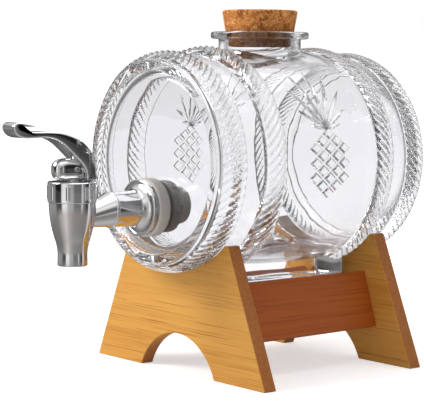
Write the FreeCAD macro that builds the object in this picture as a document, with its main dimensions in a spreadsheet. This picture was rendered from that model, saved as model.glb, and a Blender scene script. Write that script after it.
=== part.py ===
# Cocktail dispenser: a glass barrel with a tap, lying on a wooden stand.
# Millimetres, +Z up, the tap points to -Y. The origin is on the floor, in the middle of
# the whole object's outline.
import FreeCAD, Part
import os
from math import atan2, cos, hypot, pi, sin
from math import sqrt as squareRoot
import Sketcher
from FreeCAD import Vector

doc = FreeCAD.newDocument("CocktailDispenser")

# Driving dimensions, in millimetres and degrees.
driving = {
    # Stand
    "axisHeight": 118.8,  # barrel axis above the floor
    "standLength": 120.0,  # over the outer faces of the two boards
    "boardThickness": 8.4,
    "boardBase": 150.0,
    "boardHeight": 75.0,
    "hornWidth": 3.4,  # flat top left on each side of the cradle
    "boardEdge": 0.7,  # rounding of the boards' edges
    "archWidth": 65.0,
    "archHeight": 22.0,
    "railThickness": 8.0,
    "railTopHeight": 53.0,
    "railBottomHeight": 21.7,
    "railTopSpread": 36.9,  # outer face of a rail from the middle, at its top edge
    "railBottomSpread": 47.3,  # and at its bottom edge
    "railEdge": 0.7,
    "dowelRadius": 3.0,
    "dowelSpacing": 17.0,  # between the two dowels of a rail end
    "dowelInBoard": 6.0,
    "dowelInRail": 12.0,
    "dowelGap": 0.05,  # glue gap round a dowel and at its ends
    # Glass barrel
    "grooveRadius": 59.4,  # the smooth groove that lies in the cradles
    "seatGap": 0.3,  # between the groove and the cradle
    "grooveFrontGap": 0.9,  # from a board's outer face to the outer band
    "grooveBackGap": 3.4,  # from a board's inner face to the inner band
    "outerBandWidth": 15.4,
    "innerBandWidth": 13.7,
    "bandCrown": 1.8,  # how far a band's rounded top stands above its edges
    "outerBandLow": 0.8,  # outer band's edge by the rim, below the groove radius
    "outerBandHigh": 0.7,  # outer band's other edge, above the groove radius
    "innerBandLow": 2.4,  # inner band's edge by the groove, above the groove radius
    "innerBandHigh": 3.1,  # inner band's edge by the belly, above the groove radius
    "bellyRise": 2.2,  # belly's edge above the groove radius
    "bellyCrown": 1.4,  # belly's middle above its edge
    "rimWidth": 2.2,
    "rimInset": 2.1,  # rim below the groove radius
    "rimThickness": 7.3,
    "faceRecess": 1.5,
    "endWall": 6.5,
    "sideWall": 6.0,  # below the groove radius, at the ends of the hollow
    "hollowCrown": 4.0,
    "hollowCorner": 8.0,
    "neckRadius": 23.7,
    "neckRise": 9.8,  # above the belly
    "neckFlare": 4.0,
    "neckBase": 4.5,  # foot of the flare below the belly's highest line
    "flangeRadius": 28.2,
    "flangeThickness": 3.9,
    "flangeRound": 1.2,
    "footWidth": 48.0,
    "footDrop": 5.3,  # below the belly
    "footGap": 3.6,  # from the foot's ends to the boards
    "footCorner": 4.0,
    "footRoot": 8.0,  # how far foot and neck reach into the wall
    # Cork
    "corkBottomRadius": 18.35,
    "corkTopRadius": 21.85,
    "corkHeight": 21.5,
    "corkInsert": 9.1,
    "corkBevel": 1.0,
    "corkGap": 0.3,
    # Tap: arm and shank
    "tapDrop": 24.6,  # tap axis below the barrel axis
    "tapReach": 54.0,  # from the glass face to the outlet's axis
    "shankRadius": 8.0,
    "shankInset": 1.0,  # shank's end inside the nut's end
    "shankHoleGap": 0.4,
    "shankBore": 3.4,
    "armRootRadius": 5.75,
    "armRootDrop": 2.95,  # the arm's root lies lower, to pass under the bonnet
    "armRootReach": 9.0,
    "armRadius": 9.3,
    "armLength": 22.7,
    "ringWidth": 1.8,
    "ringRadius": 9.9,
    "sleeveGap": 0.1,
    "ringSwell": 0.5,
    "sleeveLength": 14.0,
    "sleeveRadius": 9.9,
    "flareLength": 4.5,
    "flareRadius": 13.2,
    "discRadius": 15.5,
    "discGroove": 0.9,
    "gasketRadius": 16.2,
    "gasketThickness": 7.5,
    "gasketGap": 0.2,
    "gasketRound": 1.0,
    "innerGasketRadius": 14.5,
    "innerGasketThickness": 3.0,
    "nutFlange": 4.0,
    "nutRadius": 14.5,
    "nutTaper": 3.5,
    "nutNeckRadius": 10.6,
    "nutLength": 13.0,
    "threadGap": 0.1,
    "nutChamfer": 1.0,
    "nutGripRadius": 1.6,
    "nutGrips": 8,
    # Tap: body
    "outletDrop": 28.6,  # outlet tip below the arm's axis
    "outletRadius": 8.1,
    "outletLip": 0.8,
    "waistDrop": 23.0,
    "waistRadius": 7.95,
    "waistDip": 0.4,  # hollow of the curve from the waist to the hip
    "hipDrop": 14.0,
    "hipRadius": 9.6,
    "hipSwell": 0.7,  # swell of the curve from the hip to the shoulder
    "shoulderRise": 5.2,
    "shoulderRadius": 12.75,
    "spigotRadius": 10.2,
    "chamberRadius": 8.4,
    "chamberDrop": 9.0,
    "seatDrop": 13.0,
    "seatRadius": 4.8,
    "seatLand": 1.5,
    "outletBore": 5.6,
    # Tap: bonnet and seals
    "bonnetRadius": 13.3,
    "bonnetHeight": 10.9,
    "bonnetTop": 3.2,
    "bonnetGap": 0.2,
    "bonnetBevel": 0.8,
    "ribRadius": 1.6,
    "ribProud": 0.5,
    "ribCount": 8,
    "ribHeight": 7.0,
    "ribStart": 1.6,  # above the bonnet's lower edge
    "sealThickness": 0.8,
    "sealRingRadius": 0.65,
    "sealGrooveHeight": 1.5,
    # Tap: stem, plug, spring
    "stemRadius": 2.7,
    "stemGap": 0.08,
    "stemHead": 3.0,  # above the lever pin
    "stemFoot": 11.2,  # stem's foot below the arm's axis
    "collarRadius": 5.4,
    "collarDrop": 6.0,
    "collarThickness": 1.0,
    "plugRadius": 6.6,
    "plugDrop": 14.0,
    "plugGap": 0.4,  # from the seat, along the stem
    "springRadius": 4.2,
    "springWire": 0.45,
    "springTurns": 6,
    "springGap": 0.1,
    # Lever
    "leverWidth": 12.0,
    "heelRadius": 6.2,
    "heelReach": 5.3,  # heel's centre in front of the pin
    "heelGap": 0.3,  # above the bonnet
    "hubRear": 11.1,
    "hubBack": 1.4,  # where the back's curve starts, below the pin
    "backSwell": 6.1,
    "backReach": 10.0,  # where the back's curve meets the paddle
    "backFall": 0.7,  # that point below the paddle's top
    "throatReach": 0.8,  # where the arm's front leaves the hub
    "throatHollow": 1.3,
    "paddleStart": 15.4,
    "slotSide": 0.3,
    "slotFront": 5.8,
    "slotRear": 4.4,
    "slotTop": 4.2,
    "pinRadius": 1.4,
    "pinGap": 0.05,
    "pinLength": 11.0,
    "paddleHeight": 17.1,  # paddle's underside above the pin
    "paddleThickness": 3.2,
    "leverReach": 40.2,  # lever's tip in front of the pin
    "curlRadius": 7.0,
    "curlHeight": 8.2,  # lip's top above the paddle's underside
    "curlLength": 13.0,
    "curlFall": 1.9,  # lip's free end below its top
    "curlEdge": 1.1,
    "slitDepth": 8.5,
    "slitHeight": 1.0,
}

sheet = doc.addObject("Spreadsheet::Sheet", "Sizes")
for row, (name, number) in enumerate(driving.items(), start=1):
    sheet.set(f"A{row}", name)
    sheet.set(f"B{row}", str(number))
    sheet.setAlias(f"B{row}", name)
doc.recompute()


class Size:
    # A length of the sheet, or one worked out from others, with its expression.
    def __init__(self, value, text):
        self.value = value
        self.text = text

    def __add__(self, other):
        other = size(other)
        return Size(self.value + other.value, f"({self.text} + {other.text})")

    def __sub__(self, other):
        other = size(other)
        return Size(self.value - other.value, f"({self.text} - {other.text})")

    def __mul__(self, other):
        other = size(other)
        return Size(self.value * other.value, f"({self.text} * {other.text})")

    def __truediv__(self, other):
        other = size(other)
        return Size(self.value / other.value, f"({self.text} / {other.text})")

    def __radd__(self, other):
        return size(other) + self

    def __rsub__(self, other):
        return size(other) - self

    def __rmul__(self, other):
        return size(other) * self

    def __neg__(self):
        return Size(-self.value, f"(0 - {self.text})")


def size(thing):
    return thing if isinstance(thing, Size) else Size(float(thing), repr(float(thing)))


def root(thing):
    return Size(squareRoot(thing.value), f"sqrt({thing.text})")


def crown(x, y, rise, turn, before):
    # Corner reached by an arc that stands out by rise from the straight way from before.
    across = size(x) - before[0]
    up = size(y) - before[1]
    chord = root(across * across + up * up)
    return x, y, (chord * chord / 4 + rise * rise) / (2 * rise), turn


class Sheet:
    def __getattr__(self, name):
        return Size(float(driving[name]), f"Sizes.{name}")


dim = Sheet()

# Places that several pieces share.
halfStand = dim.standLength / 2
boardInner = halfStand - dim.boardThickness
grooveOuter = halfStand + dim.grooveFrontGap
grooveInner = boardInner - dim.grooveBackGap
bandOuter = grooveOuter + dim.outerBandWidth
halfBarrel = bandOuter + dim.rimWidth
halfFace = halfBarrel - dim.faceRecess
bellyHalf = grooveInner - dim.innerBandWidth
bellyEdgeRadius = dim.grooveRadius + dim.bellyRise
bellyRadius = bellyEdgeRadius + dim.bellyCrown
neckTop = bellyRadius + dim.neckRise
barrelY = (halfFace + dim.tapReach + dim.leverReach - halfBarrel) / 2
tapY = barrelY - halfFace - dim.tapReach
tapZ = dim.axisHeight - dim.tapDrop
wallInner = dim.tapReach + dim.endWall
nutStart = wallInner + dim.innerGasketThickness
shankEnd = nutStart + dim.nutLength - dim.shankInset
bonnetBase = dim.shoulderRise + dim.bonnetGap
bonnetTopRise = bonnetBase + dim.bonnetHeight
bonnetCeiling = bonnetTopRise - dim.bonnetTop
spigotTop = bonnetCeiling - dim.sealThickness
pinRise = bonnetTopRise + dim.heelGap + dim.heelRadius
collarTop = dim.collarThickness - dim.collarDrop
stemSleeve = dim.stemRadius + dim.stemGap


def place(thing, x=0, y=0, z=0):
    for axis, length in (("x", x), ("y", y), ("z", z)):
        thing.setExpression(f"Placement.Base.{axis}", size(length).text)
    return thing


def newBody(label, y=0, z=0, x=0):
    body = doc.addObject("PartDesign::Body", label)
    body.Label = label
    return place(body, x, y, z)


def newSketch(body, name, planeRole, offset=None):
    sketch = body.newObject("Sketcher::SketchObject", f"{body.Name}_{name}")
    planes = [item for item in body.Origin.OriginFeatures if item.Role == planeRole]
    sketch.AttachmentSupport = [(planes[0], "")]
    sketch.MapMode = "FlatFace"
    if offset is not None:
        sketch.setExpression("AttachmentOffset.Base.z", size(offset).text)
    return sketch


def bindPoint(sketch, edge, end, x, y):
    for kind, length, axis in (("DistanceX", x, -2), ("DistanceY", y, -1)):
        if length.value == 0:
            sketch.addConstraint(Sketcher.Constraint("PointOnObject", edge, end, axis))
            continue
        index = sketch.addConstraint(Sketcher.Constraint(kind, edge, end, length.value))
        sketch.setExpression(f"Constraints[{index}]", length.text)


def arcBetween(start, end, radius, turn):
    # Minor arc from start to end; turn is 1 where the way bends left, -1 where it bends right.
    chord = hypot(end[0] - start[0], end[1] - start[1])
    rise = squareRoot(max(radius * radius - chord * chord / 4, 0))
    middle = ((start[0] + end[0]) / 2, (start[1] + end[1]) / 2)
    left = ((start[1] - end[1]) / chord, (end[0] - start[0]) / chord)
    centre = (middle[0] + turn * rise * left[0], middle[1] + turn * rise * left[1])
    first = start if turn > 0 else end
    last = end if turn > 0 else start
    circle = Part.Circle(Vector(*centre, 0), Vector(0, 0, 1), radius)
    angles = [atan2(point[1] - centre[1], point[0] - centre[0]) for point in (first, last)]
    return Part.ArcOfCircle(circle, angles[0], angles[1])


def outline(sketch, corners):
    # Closed outline. A corner is (x, y), or (x, y, radius, turn) where an arc arrives at it.
    corners = [tuple(size(item) for item in corner[:3]) + tuple(corner[3:]) for corner in corners]
    ends = []
    for number, corner in enumerate(corners):
        before = corners[number - 1]
        start = (before[0].value, before[1].value)
        end = (corner[0].value, corner[1].value)
        if len(corner) == 2:
            edge = sketch.addGeometry(Part.LineSegment(Vector(*start, 0), Vector(*end, 0)))
            ends.append((edge, 1, 2))
            continue
        edge = sketch.addGeometry(arcBetween(start, end, corner[2].value, corner[3]))
        ends.append((edge, 1, 2) if corner[3] > 0 else (edge, 2, 1))
        index = sketch.addConstraint(Sketcher.Constraint("Radius", edge, corner[2].value))
        sketch.setExpression(f"Constraints[{index}]", corner[2].text)
    for number, (edge, first, last) in enumerate(ends):
        following = ends[(number + 1) % len(ends)]
        sketch.addConstraint(Sketcher.Constraint("Coincident", edge, last, following[0], following[1]))
        bindPoint(sketch, edge, last, corners[number][0], corners[number][1])
    return sketch


def circles(sketch, centres, radius):
    for x, y in centres:
        x, y = size(x), size(y)
        edge = sketch.addGeometry(Part.Circle(Vector(x.value, y.value, 0), Vector(0, 0, 1), radius.value))
        bindPoint(sketch, edge, 3, x, y)
        index = sketch.addConstraint(Sketcher.Constraint("Radius", edge, radius.value))
        sketch.setExpression(f"Constraints[{index}]", radius.text)
    return sketch


def feature(body, kind, name, sketch):
    made = body.newObject(f"PartDesign::{kind}", f"{body.Name}_{name}")
    made.Profile = sketch
    return made


def turned(body, name, corners, planeRole, axis, kind="Revolution"):
    made = feature(body, kind, name, outline(newSketch(body, f"{name}_sketch", planeRole), corners))
    made.ReferenceAxis = (made.Profile[0], [axis])
    made.Angle = 360
    return made


def turnedUpright(body, name, corners, kind="Revolution"):
    # Corners are (radius, height) about the body's Z axis.
    return turned(body, name, corners, "XZ_Plane", "V_Axis", kind)


def turnedLying(body, name, corners, kind="Revolution"):
    # Corners are (distance along Y, radius) about the body's Y axis.
    return turned(body, name, corners, "YZ_Plane", "H_Axis", kind)


def extruded(body, name, sketch, length, kind="Pad", both=True, reverse=False):
    made = feature(body, kind, name, sketch)
    made.SideType = "Symmetric" if both else "One side"
    made.Reversed = reverse
    made.setExpression("Length", size(length).text)
    return made


def rounded(body, name, radius):
    solid = body.Tip
    made = body.newObject("PartDesign::Fillet", f"{body.Name}_{name}")
    made.Base = (solid, ["Edge1"])
    made.UseAllEdges = True
    made.setExpression("Radius", size(radius).text)
    return made


# Glass barrel: belly, bands and rims about the lying axis, then the neck and the foot.
barrel = newBody("glass_barrel", barrelY, dim.axisHeight)


def mirroredLine(corners, last):
    # The corners, and their mirror image about the middle in the other order.
    back = []
    for number in range(len(corners) - 1, -1, -1):
        x, y = corners[number][:2]
        following = corners[number + 1] if number + 1 < len(corners) else last
        back.append((-size(x), y) + tuple(following[2:]))
    return corners + back


# One half of the outer line, from the middle of the face to the belly's edge.
rimOuter = dim.grooveRadius - dim.rimInset
rimInner = rimOuter - dim.rimThickness
outerLow = (bandOuter, dim.grooveRadius - dim.outerBandLow)
innerLow = (grooveInner, dim.grooveRadius + dim.innerBandLow)
barrelLine = [
    (halfFace, 0),
    (halfFace, rimInner),
    (halfBarrel, rimInner + dim.faceRecess, dim.faceRecess, -1),
    (halfBarrel, rimOuter - dim.rimWidth),
    (bandOuter, rimOuter, dim.rimWidth, 1),
    outerLow,
    crown(grooveOuter, dim.grooveRadius + dim.outerBandHigh, dim.bandCrown, 1, outerLow),
    (grooveOuter, dim.grooveRadius),
    (grooveInner, dim.grooveRadius),
    innerLow,
    crown(bellyHalf, dim.grooveRadius + dim.innerBandHigh, dim.bandCrown, 1, innerLow),
    (bellyHalf, bellyEdgeRadius),
]
belly = crown(-bellyHalf, bellyEdgeRadius, dim.bellyCrown, 1, barrelLine[-1])
turnedLying(barrel, "wall", mirroredLine(barrelLine, belly))

neckFoot = bellyRadius - dim.footRoot
flareTop = bellyRadius - dim.neckBase + dim.neckFlare
flangeBase = neckTop - dim.flangeThickness
flangeEdge = dim.flangeRadius - dim.flangeRound
turnedUpright(barrel, "neck", [
    (0, neckFoot),
    (dim.neckRadius + dim.neckFlare, neckFoot),
    (dim.neckRadius + dim.neckFlare, flareTop - dim.neckFlare),
    (dim.neckRadius, flareTop, dim.neckFlare, -1),
    (dim.neckRadius, flangeBase),
    (flangeEdge, flangeBase),
    (dim.flangeRadius, flangeBase + dim.flangeRound, dim.flangeRound, 1),
    (dim.flangeRadius, neckTop - dim.flangeRound),
    (flangeEdge, neckTop, dim.flangeRound, 1),
    (0, neckTop),
])

footX = dim.footWidth / 2
footY = boardInner - dim.footGap
footSketch = newSketch(barrel, "foot_sketch", "XY_Plane", -(bellyRadius + dim.footDrop))
outline(footSketch, [
    (footX - dim.footCorner, -footY),
    (footX, dim.footCorner - footY, dim.footCorner, 1),
    (footX, footY - dim.footCorner),
    (footX - dim.footCorner, footY, dim.footCorner, 1),
    (dim.footCorner - footX, footY),
    (-footX, footY - dim.footCorner, dim.footCorner, 1),
    (-footX, dim.footCorner - footY),
    (dim.footCorner - footX, -footY, dim.footCorner, 1),
])
extruded(barrel, "foot", footSketch, dim.footDrop + dim.footRoot, both=False)

hollowEnd = halfFace - dim.endWall
hollowRadius = dim.grooveRadius - dim.sideWall
hollowLine = [
    (hollowEnd, 0),
    (hollowEnd, hollowRadius - dim.hollowCorner),
    (hollowEnd - dim.hollowCorner, hollowRadius, dim.hollowCorner, 1),
]
hollowTop = crown(dim.hollowCorner - hollowEnd, hollowRadius, dim.hollowCrown, 1, hollowLine[-1])
turnedLying(barrel, "hollow", mirroredLine(hollowLine, hollowTop), "Groove")

corkFoot = neckTop - dim.corkInsert
corkSlope = (dim.corkTopRadius - dim.corkBottomRadius) / dim.corkHeight
boreTop = dim.corkBottomRadius + corkSlope * dim.corkInsert + dim.corkGap
boreFoot = dim.corkBottomRadius + dim.corkGap
turnedUpright(barrel, "mouth", [
    (0, 0),
    (boreFoot, 0),
    (boreFoot, corkFoot),
    (boreTop, neckTop),
    (0, neckTop),
], "Groove")

tapHole = circles(newSketch(barrel, "tap_hole_sketch", "XZ_Plane", halfFace),
                  [(0, -dim.tapDrop)], dim.shankRadius + dim.shankHoleGap)
extruded(barrel, "tap_hole", tapHole, dim.endWall + dim.gasketGap, "Pocket", both=False)

# Cork: a cone with bevelled ends.
cork = newBody("cork_stopper", barrelY, dim.axisHeight + corkFoot)
bevelIn = dim.corkBevel * corkSlope
turnedUpright(cork, "cone", [
    (0, 0),
    (dim.corkBottomRadius - dim.corkBevel, 0),
    (dim.corkBottomRadius + bevelIn, dim.corkBevel),
    (dim.corkTopRadius - bevelIn, dim.corkHeight - dim.corkBevel),
    (dim.corkTopRadius - dim.corkBevel, dim.corkHeight),
    (0, dim.corkHeight),
])

# Stand: two end boards with a cradle and an arch, and two tilted rails between them.
cradleRadius = dim.grooveRadius + dim.seatGap
cradleDrop = dim.axisHeight - dim.boardHeight
cradleX = root(cradleRadius * cradleRadius - cradleDrop * cradleDrop)
topX = cradleX + dim.hornWidth
archX = dim.archWidth / 2
railRun = dim.railBottomSpread - dim.railTopSpread
railRise = dim.railTopHeight - dim.railBottomHeight
railWidth = root(railRun * railRun + railRise * railRise)
dowelHole = dim.dowelRadius + dim.dowelGap


def railPoint(side, along, depth):
    # A point of a rail's section: along its outer face from the top edge, and depth inwards.
    x = dim.railTopSpread + (railRun * along - railRise * depth) / railWidth
    z = dim.railTopHeight - (railRise * along + railRun * depth) / railWidth
    return side * x, z


def dowelPoints(side):
    middle = railWidth / 2
    return [railPoint(side, middle + end * dim.dowelSpacing / 2, dim.railThickness / 2) for end in (-1, 1)]


def endBoard(label, end):
    # end is -1 at the tap and 1 at the back.
    body = newBody(label, barrelY + end * (halfStand - dim.boardThickness / 2))
    face = outline(newSketch(body, "face", "XZ_Plane"), [
        (-archX, 0, (archX * archX + dim.archHeight * dim.archHeight) / (2 * dim.archHeight), 1),
        (-dim.boardBase / 2, 0),
        (-topX, dim.boardHeight),
        (-cradleX, dim.boardHeight),
        (cradleX, dim.boardHeight, cradleRadius, 1),
        (topX, dim.boardHeight),
        (dim.boardBase / 2, 0),
        (archX, 0),
    ])
    extruded(body, "plate", face, dim.boardThickness)
    rounded(body, "edges", dim.boardEdge)
    holes = newSketch(body, "holes_sketch", "XZ_Plane", end * dim.boardThickness / 2)
    circles(holes, dowelPoints(1) + dowelPoints(-1), dowelHole)
    depth = dim.dowelInBoard + dim.dowelGap
    extruded(body, "holes", holes, depth, "Pocket", both=False, reverse=end < 0)


def sideRail(label, side):
    body = newBody(label, barrelY)
    section = outline(newSketch(body, "section", "XZ_Plane"), [
        railPoint(side, 0, 0),
        railPoint(side, railWidth, 0),
        railPoint(side, railWidth, dim.railThickness),
        railPoint(side, 0, dim.railThickness),
    ])
    extruded(body, "bar", section, 2 * boardInner)
    rounded(body, "edges", dim.railEdge)
    for end in (-1, 1):
        holes = newSketch(body, f"holes_sketch_{end + 1}", "XZ_Plane", -end * boardInner)
        circles(holes, dowelPoints(side), dowelHole)
        depth = dim.dowelInRail + dim.dowelGap
        extruded(body, f"holes_{end + 1}", holes, depth, "Pocket", both=False, reverse=end > 0)


endBoard("front_board", -1)
endBoard("rear_board", 1)
sideRail("right_rail", 1)
sideRail("left_rail", -1)

dowels = []
for end in (-1, 1):
    for x, z in dowelPoints(1) + dowelPoints(-1):
        dowel = doc.addObject("Part::Cylinder", f"dowel_{len(dowels) + 1}")
        dowel.setExpression("Radius", dim.dowelRadius.text)
        dowel.setExpression("Height", (dim.dowelInBoard + dim.dowelInRail).text)
        dowel.Placement.Rotation = FreeCAD.Rotation(Vector(1, 0, 0), -90)
        start = dim.dowelInRail if end > 0 else -dim.dowelInBoard
        place(dowel, x, barrelY + end * boardInner - (start if end > 0 else -start), z)
        dowels.append(dowel)
dowelSet = doc.addObject("Part::Compound", "stand_dowels")
dowelSet.Links = dowels
dowelSet.Label = "stand_dowels"

# Tap body: upright body and outlet, lying arm and shank, then the chamber, seat and bores.
tap = newBody("tap_body", tapY, tapZ)
waist = (dim.waistRadius, -dim.waistDrop)
hip = crown(dim.hipRadius, -dim.hipDrop, dim.waistDip, -1, waist)
turnedUpright(tap, "body", [
    (0, -dim.outletDrop),
    (dim.outletRadius - dim.outletLip, -dim.outletDrop),
    (dim.outletRadius, dim.outletLip - dim.outletDrop, dim.outletLip, 1),
    waist,
    hip,
    crown(dim.shoulderRadius, dim.shoulderRise, dim.hipSwell, 1, hip),
    (dim.spigotRadius, dim.shoulderRise),
    (dim.spigotRadius, spigotTop),
    (0, spigotTop),
])
armRoot = circles(newSketch(tap, "arm_root", "XZ_Plane", -dim.armRootReach),
                  [(0, -dim.armRootDrop)], dim.armRootRadius)
armEnd = circles(newSketch(tap, "arm_end", "XZ_Plane", -dim.armLength), [(0, 0)], dim.armRadius)
feature(tap, "AdditiveLoft", "arm", armRoot).Sections = [armEnd]
turnedLying(tap, "shank", [
    (dim.armLength, 0),
    (dim.armLength, dim.shankRadius),
    (shankEnd, dim.shankRadius),
    (shankEnd, 0),
])
turnedUpright(tap, "chamber", [
    (0, -dim.outletDrop),
    (dim.outletBore, -dim.outletDrop),
    (dim.outletBore, -dim.seatDrop - dim.seatLand),
    (dim.seatRadius, -dim.seatDrop - dim.seatLand),
    (dim.seatRadius, -dim.seatDrop),
    (dim.chamberRadius, -dim.chamberDrop),
    (dim.chamberRadius, spigotTop),
    (0, spigotTop),
], "Groove")
turnedLying(tap, "bore", [(0, 0), (0, dim.shankBore), (shankEnd, dim.shankBore), (shankEnd, 0)], "Groove")


def collarPiece(label, start, corners):
    # A turned piece on the shank; corners are (distance from its near end, radius).
    body = newBody(label, tapY + start, tapZ)
    turnedLying(body, "ring", corners)
    return body


sleeveBore = dim.shankRadius + dim.sleeveGap
gasketBore = dim.shankRadius + dim.gasketGap
ringEdge = (0, dim.ringRadius - dim.ringSwell)
collarPiece("arm_ring", dim.armLength, [
    (dim.ringWidth, sleeveBore),
    (0, sleeveBore),
    ringEdge,
    crown(dim.ringWidth, dim.ringRadius - dim.ringSwell, dim.ringSwell, -1, ringEdge),
])

sleeveStart = dim.armLength + dim.ringWidth
sleeveEnd = dim.tapReach - dim.gasketThickness
sleeveSpan = sleeveEnd - sleeveStart
flareEnd = dim.sleeveLength + dim.flareLength
flareStart = (dim.sleeveLength, dim.sleeveRadius)
rimStep = (dim.discRadius - dim.flareRadius) / 2
collarPiece("flange_sleeve", sleeveStart, [
    (sleeveSpan, sleeveBore),
    (0, sleeveBore),
    (0, dim.armRadius),
    flareStart,
    crown(flareEnd, dim.flareRadius, dim.discGroove, 1, flareStart),
    (flareEnd + dim.discGroove, dim.flareRadius),
    (flareEnd + dim.discGroove, dim.flareRadius + rimStep),
    (flareEnd, dim.flareRadius + rimStep),
    (flareEnd, dim.discRadius - dim.discGroove),
    (flareEnd + dim.discGroove, dim.discRadius, dim.discGroove, -1),
    (sleeveSpan, dim.discRadius),
])

collarPiece("outer_gasket", sleeveEnd, [
    (dim.gasketThickness, gasketBore),
    (0, gasketBore),
    (0, dim.gasketRadius - dim.gasketRound),
    (dim.gasketRound, dim.gasketRadius, dim.gasketRound, -1),
    (dim.gasketThickness - dim.gasketRound, dim.gasketRadius),
    (dim.gasketThickness, dim.gasketRadius - dim.gasketRound, dim.gasketRound, -1),
])
collarPiece("inner_gasket", wallInner, [
    (dim.innerGasketThickness, gasketBore),
    (0, gasketBore),
    (0, dim.innerGasketRadius),
    (dim.innerGasketThickness, dim.innerGasketRadius),
])

nutBore = dim.shankRadius + dim.threadGap
nut = collarPiece("lock_nut", nutStart, [
    (dim.nutLength, nutBore),
    (0, nutBore),
    (0, dim.nutRadius),
    (dim.nutFlange, dim.nutRadius),
    (dim.nutFlange + dim.nutTaper, dim.nutNeckRadius),
    (dim.nutLength - dim.nutChamfer, dim.nutNeckRadius),
    (dim.nutLength, dim.nutNeckRadius - dim.nutChamfer),
])


def around(body, name, made, count):
    # Copies of a feature about the sketch's normal axis.
    pattern = body.newObject("PartDesign::PolarPattern", f"{body.Name}_{name}")
    pattern.Originals = [made]
    pattern.Axis = (made.Profile[0], ["N_Axis"])
    pattern.Angle = 360
    pattern.setExpression("Occurrences", count.text)
    body.Tip = pattern


gripSketch = circles(newSketch(nut, "grip_sketch", "XZ_Plane"), [(0, dim.nutRadius)], dim.nutGripRadius)
around(nut, "grips", extruded(nut, "grip", gripSketch, dim.nutFlange, "Pocket", both=False), dim.nutGrips)

# Bonnet: a cap with low ribs, a groove for the stem's seal and a bore for the stem.
bonnet = newBody("bonnet_ring", tapY, tapZ + bonnetBase)
capBore = dim.spigotRadius + dim.threadGap
ceiling = dim.bonnetHeight - dim.bonnetTop
grooveFoot = dim.bonnetHeight - (dim.bonnetTop + dim.sealGrooveHeight) / 2
grooveDepth = stemSleeve + 2 * dim.sealRingRadius + dim.sleeveGap
turnedUpright(bonnet, "cap", [
    (capBore, 0),
    (dim.bonnetRadius, 0),
    (dim.bonnetRadius, dim.bonnetHeight - dim.bonnetBevel),
    (dim.bonnetRadius - dim.bonnetBevel, dim.bonnetHeight, dim.bonnetBevel, 1),
    (stemSleeve, dim.bonnetHeight),
    (stemSleeve, grooveFoot + dim.sealGrooveHeight),
    (grooveDepth, grooveFoot + dim.sealGrooveHeight),
    (grooveDepth, grooveFoot),
    (stemSleeve, grooveFoot),
    (stemSleeve, ceiling),
    (capBore, ceiling),
])
ribSketch = circles(newSketch(bonnet, "rib_sketch", "XY_Plane", dim.ribStart),
                    [(0, dim.bonnetRadius + dim.ribProud - dim.ribRadius)], dim.ribRadius)
around(bonnet, "ribs", extruded(bonnet, "rib", ribSketch, dim.ribHeight, both=False), dim.ribCount)

seal = newBody("bonnet_seal", tapY, tapZ + spigotTop)
turnedUpright(seal, "ring", [
    (dim.chamberRadius, 0),
    (dim.spigotRadius, 0),
    (dim.spigotRadius, dim.sealThickness),
    (dim.chamberRadius, dim.sealThickness),
])

stemSeal = doc.addObject("Part::Torus", "stem_seal")
stemSeal.Label = "stem_seal"
stemSeal.setExpression("Radius1", (stemSleeve + dim.sealRingRadius).text)
stemSeal.setExpression("Radius2", dim.sealRingRadius.text)
place(stemSeal, 0, tapY, tapZ + bonnetBase + grooveFoot + dim.sealGrooveHeight / 2)

# Stem with its spring collar and eye, and the soft plug under it.
stem = newBody("valve_stem", tapY, tapZ)
stemTop = pinRise + dim.stemHead
turnedUpright(stem, "rod", [
    (0, -dim.stemFoot),
    (dim.stemRadius, -dim.stemFoot),
    (dim.stemRadius, -dim.collarDrop),
    (dim.collarRadius, -dim.collarDrop),
    (dim.collarRadius, collarTop),
    (dim.stemRadius, collarTop),
    (dim.stemRadius, stemTop),
    (0, stemTop),
])
eyeSketch = circles(newSketch(stem, "eye_sketch", "YZ_Plane"), [(0, pinRise)], dim.pinRadius + dim.pinGap)
extruded(stem, "eye", eyeSketch, 2 * dim.stemRadius, "Pocket")

plug = newBody("valve_plug", tapY, tapZ)
seatSlope = (dim.chamberRadius - dim.seatRadius) / (dim.seatDrop - dim.chamberDrop)
plugTip = dim.seatRadius - (dim.plugDrop + dim.plugGap - dim.seatDrop) * seatSlope
plugEdge = (dim.plugRadius - plugTip) / seatSlope - dim.plugDrop
plugHole = dim.stemRadius + dim.pinGap
turnedUpright(plug, "cone", [
    (0, -dim.plugDrop),
    (plugTip, -dim.plugDrop),
    (dim.plugRadius, plugEdge),
    (dim.plugRadius, -dim.collarDrop),
    (plugHole, -dim.collarDrop),
    (plugHole, -dim.stemFoot),
    (0, -dim.stemFoot),
])

# Return spring: a wire wound from the collar up to the bonnet's ceiling.
wire = dim.springWire.value
coilFoot = collarTop.value + wire + dim.springGap.value
coilHeight = bonnetCeiling.value - wire - dim.springGap.value - coilFoot
coilSteps = 4 * int(driving["springTurns"])


def coilPoint(step):
    # Place and direction of the wire's middle line, after that many quarter turns.
    angle = step * pi / 2
    radius = dim.springRadius.value
    rise = coilHeight / coilSteps
    spot = Vector(radius * cos(angle), radius * sin(angle), rise * step)
    way = Vector(-radius * sin(angle), radius * cos(angle), rise * 2 / pi)
    return spot, way.normalize()


def tangentArc(start, corner, end):
    # Arc that leaves start towards corner and arrives at end from it.
    weight = cos((corner - start).getAngle(end - start))
    middle = (start + corner * (2 * weight) + end) / (2 + 2 * weight)
    return Part.Arc(start, middle, end).toShape()


def quarterTurn(step):
    # Two tangent arcs that follow the wire's line through a quarter turn.
    start, out = coilPoint(step)
    end, back = coilPoint(step + 1)
    across = end - start
    turn = 1 - out.dot(back)
    lean = across.dot(out + back)
    reach = (squareRoot(lean * lean + 2 * turn * across.dot(across)) - lean) / (2 * turn)
    first = start + out * reach
    last = end - back * reach
    middle = (first + last) / 2
    return [tangentArc(start, first, middle), tangentArc(middle, last, end)]


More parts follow.
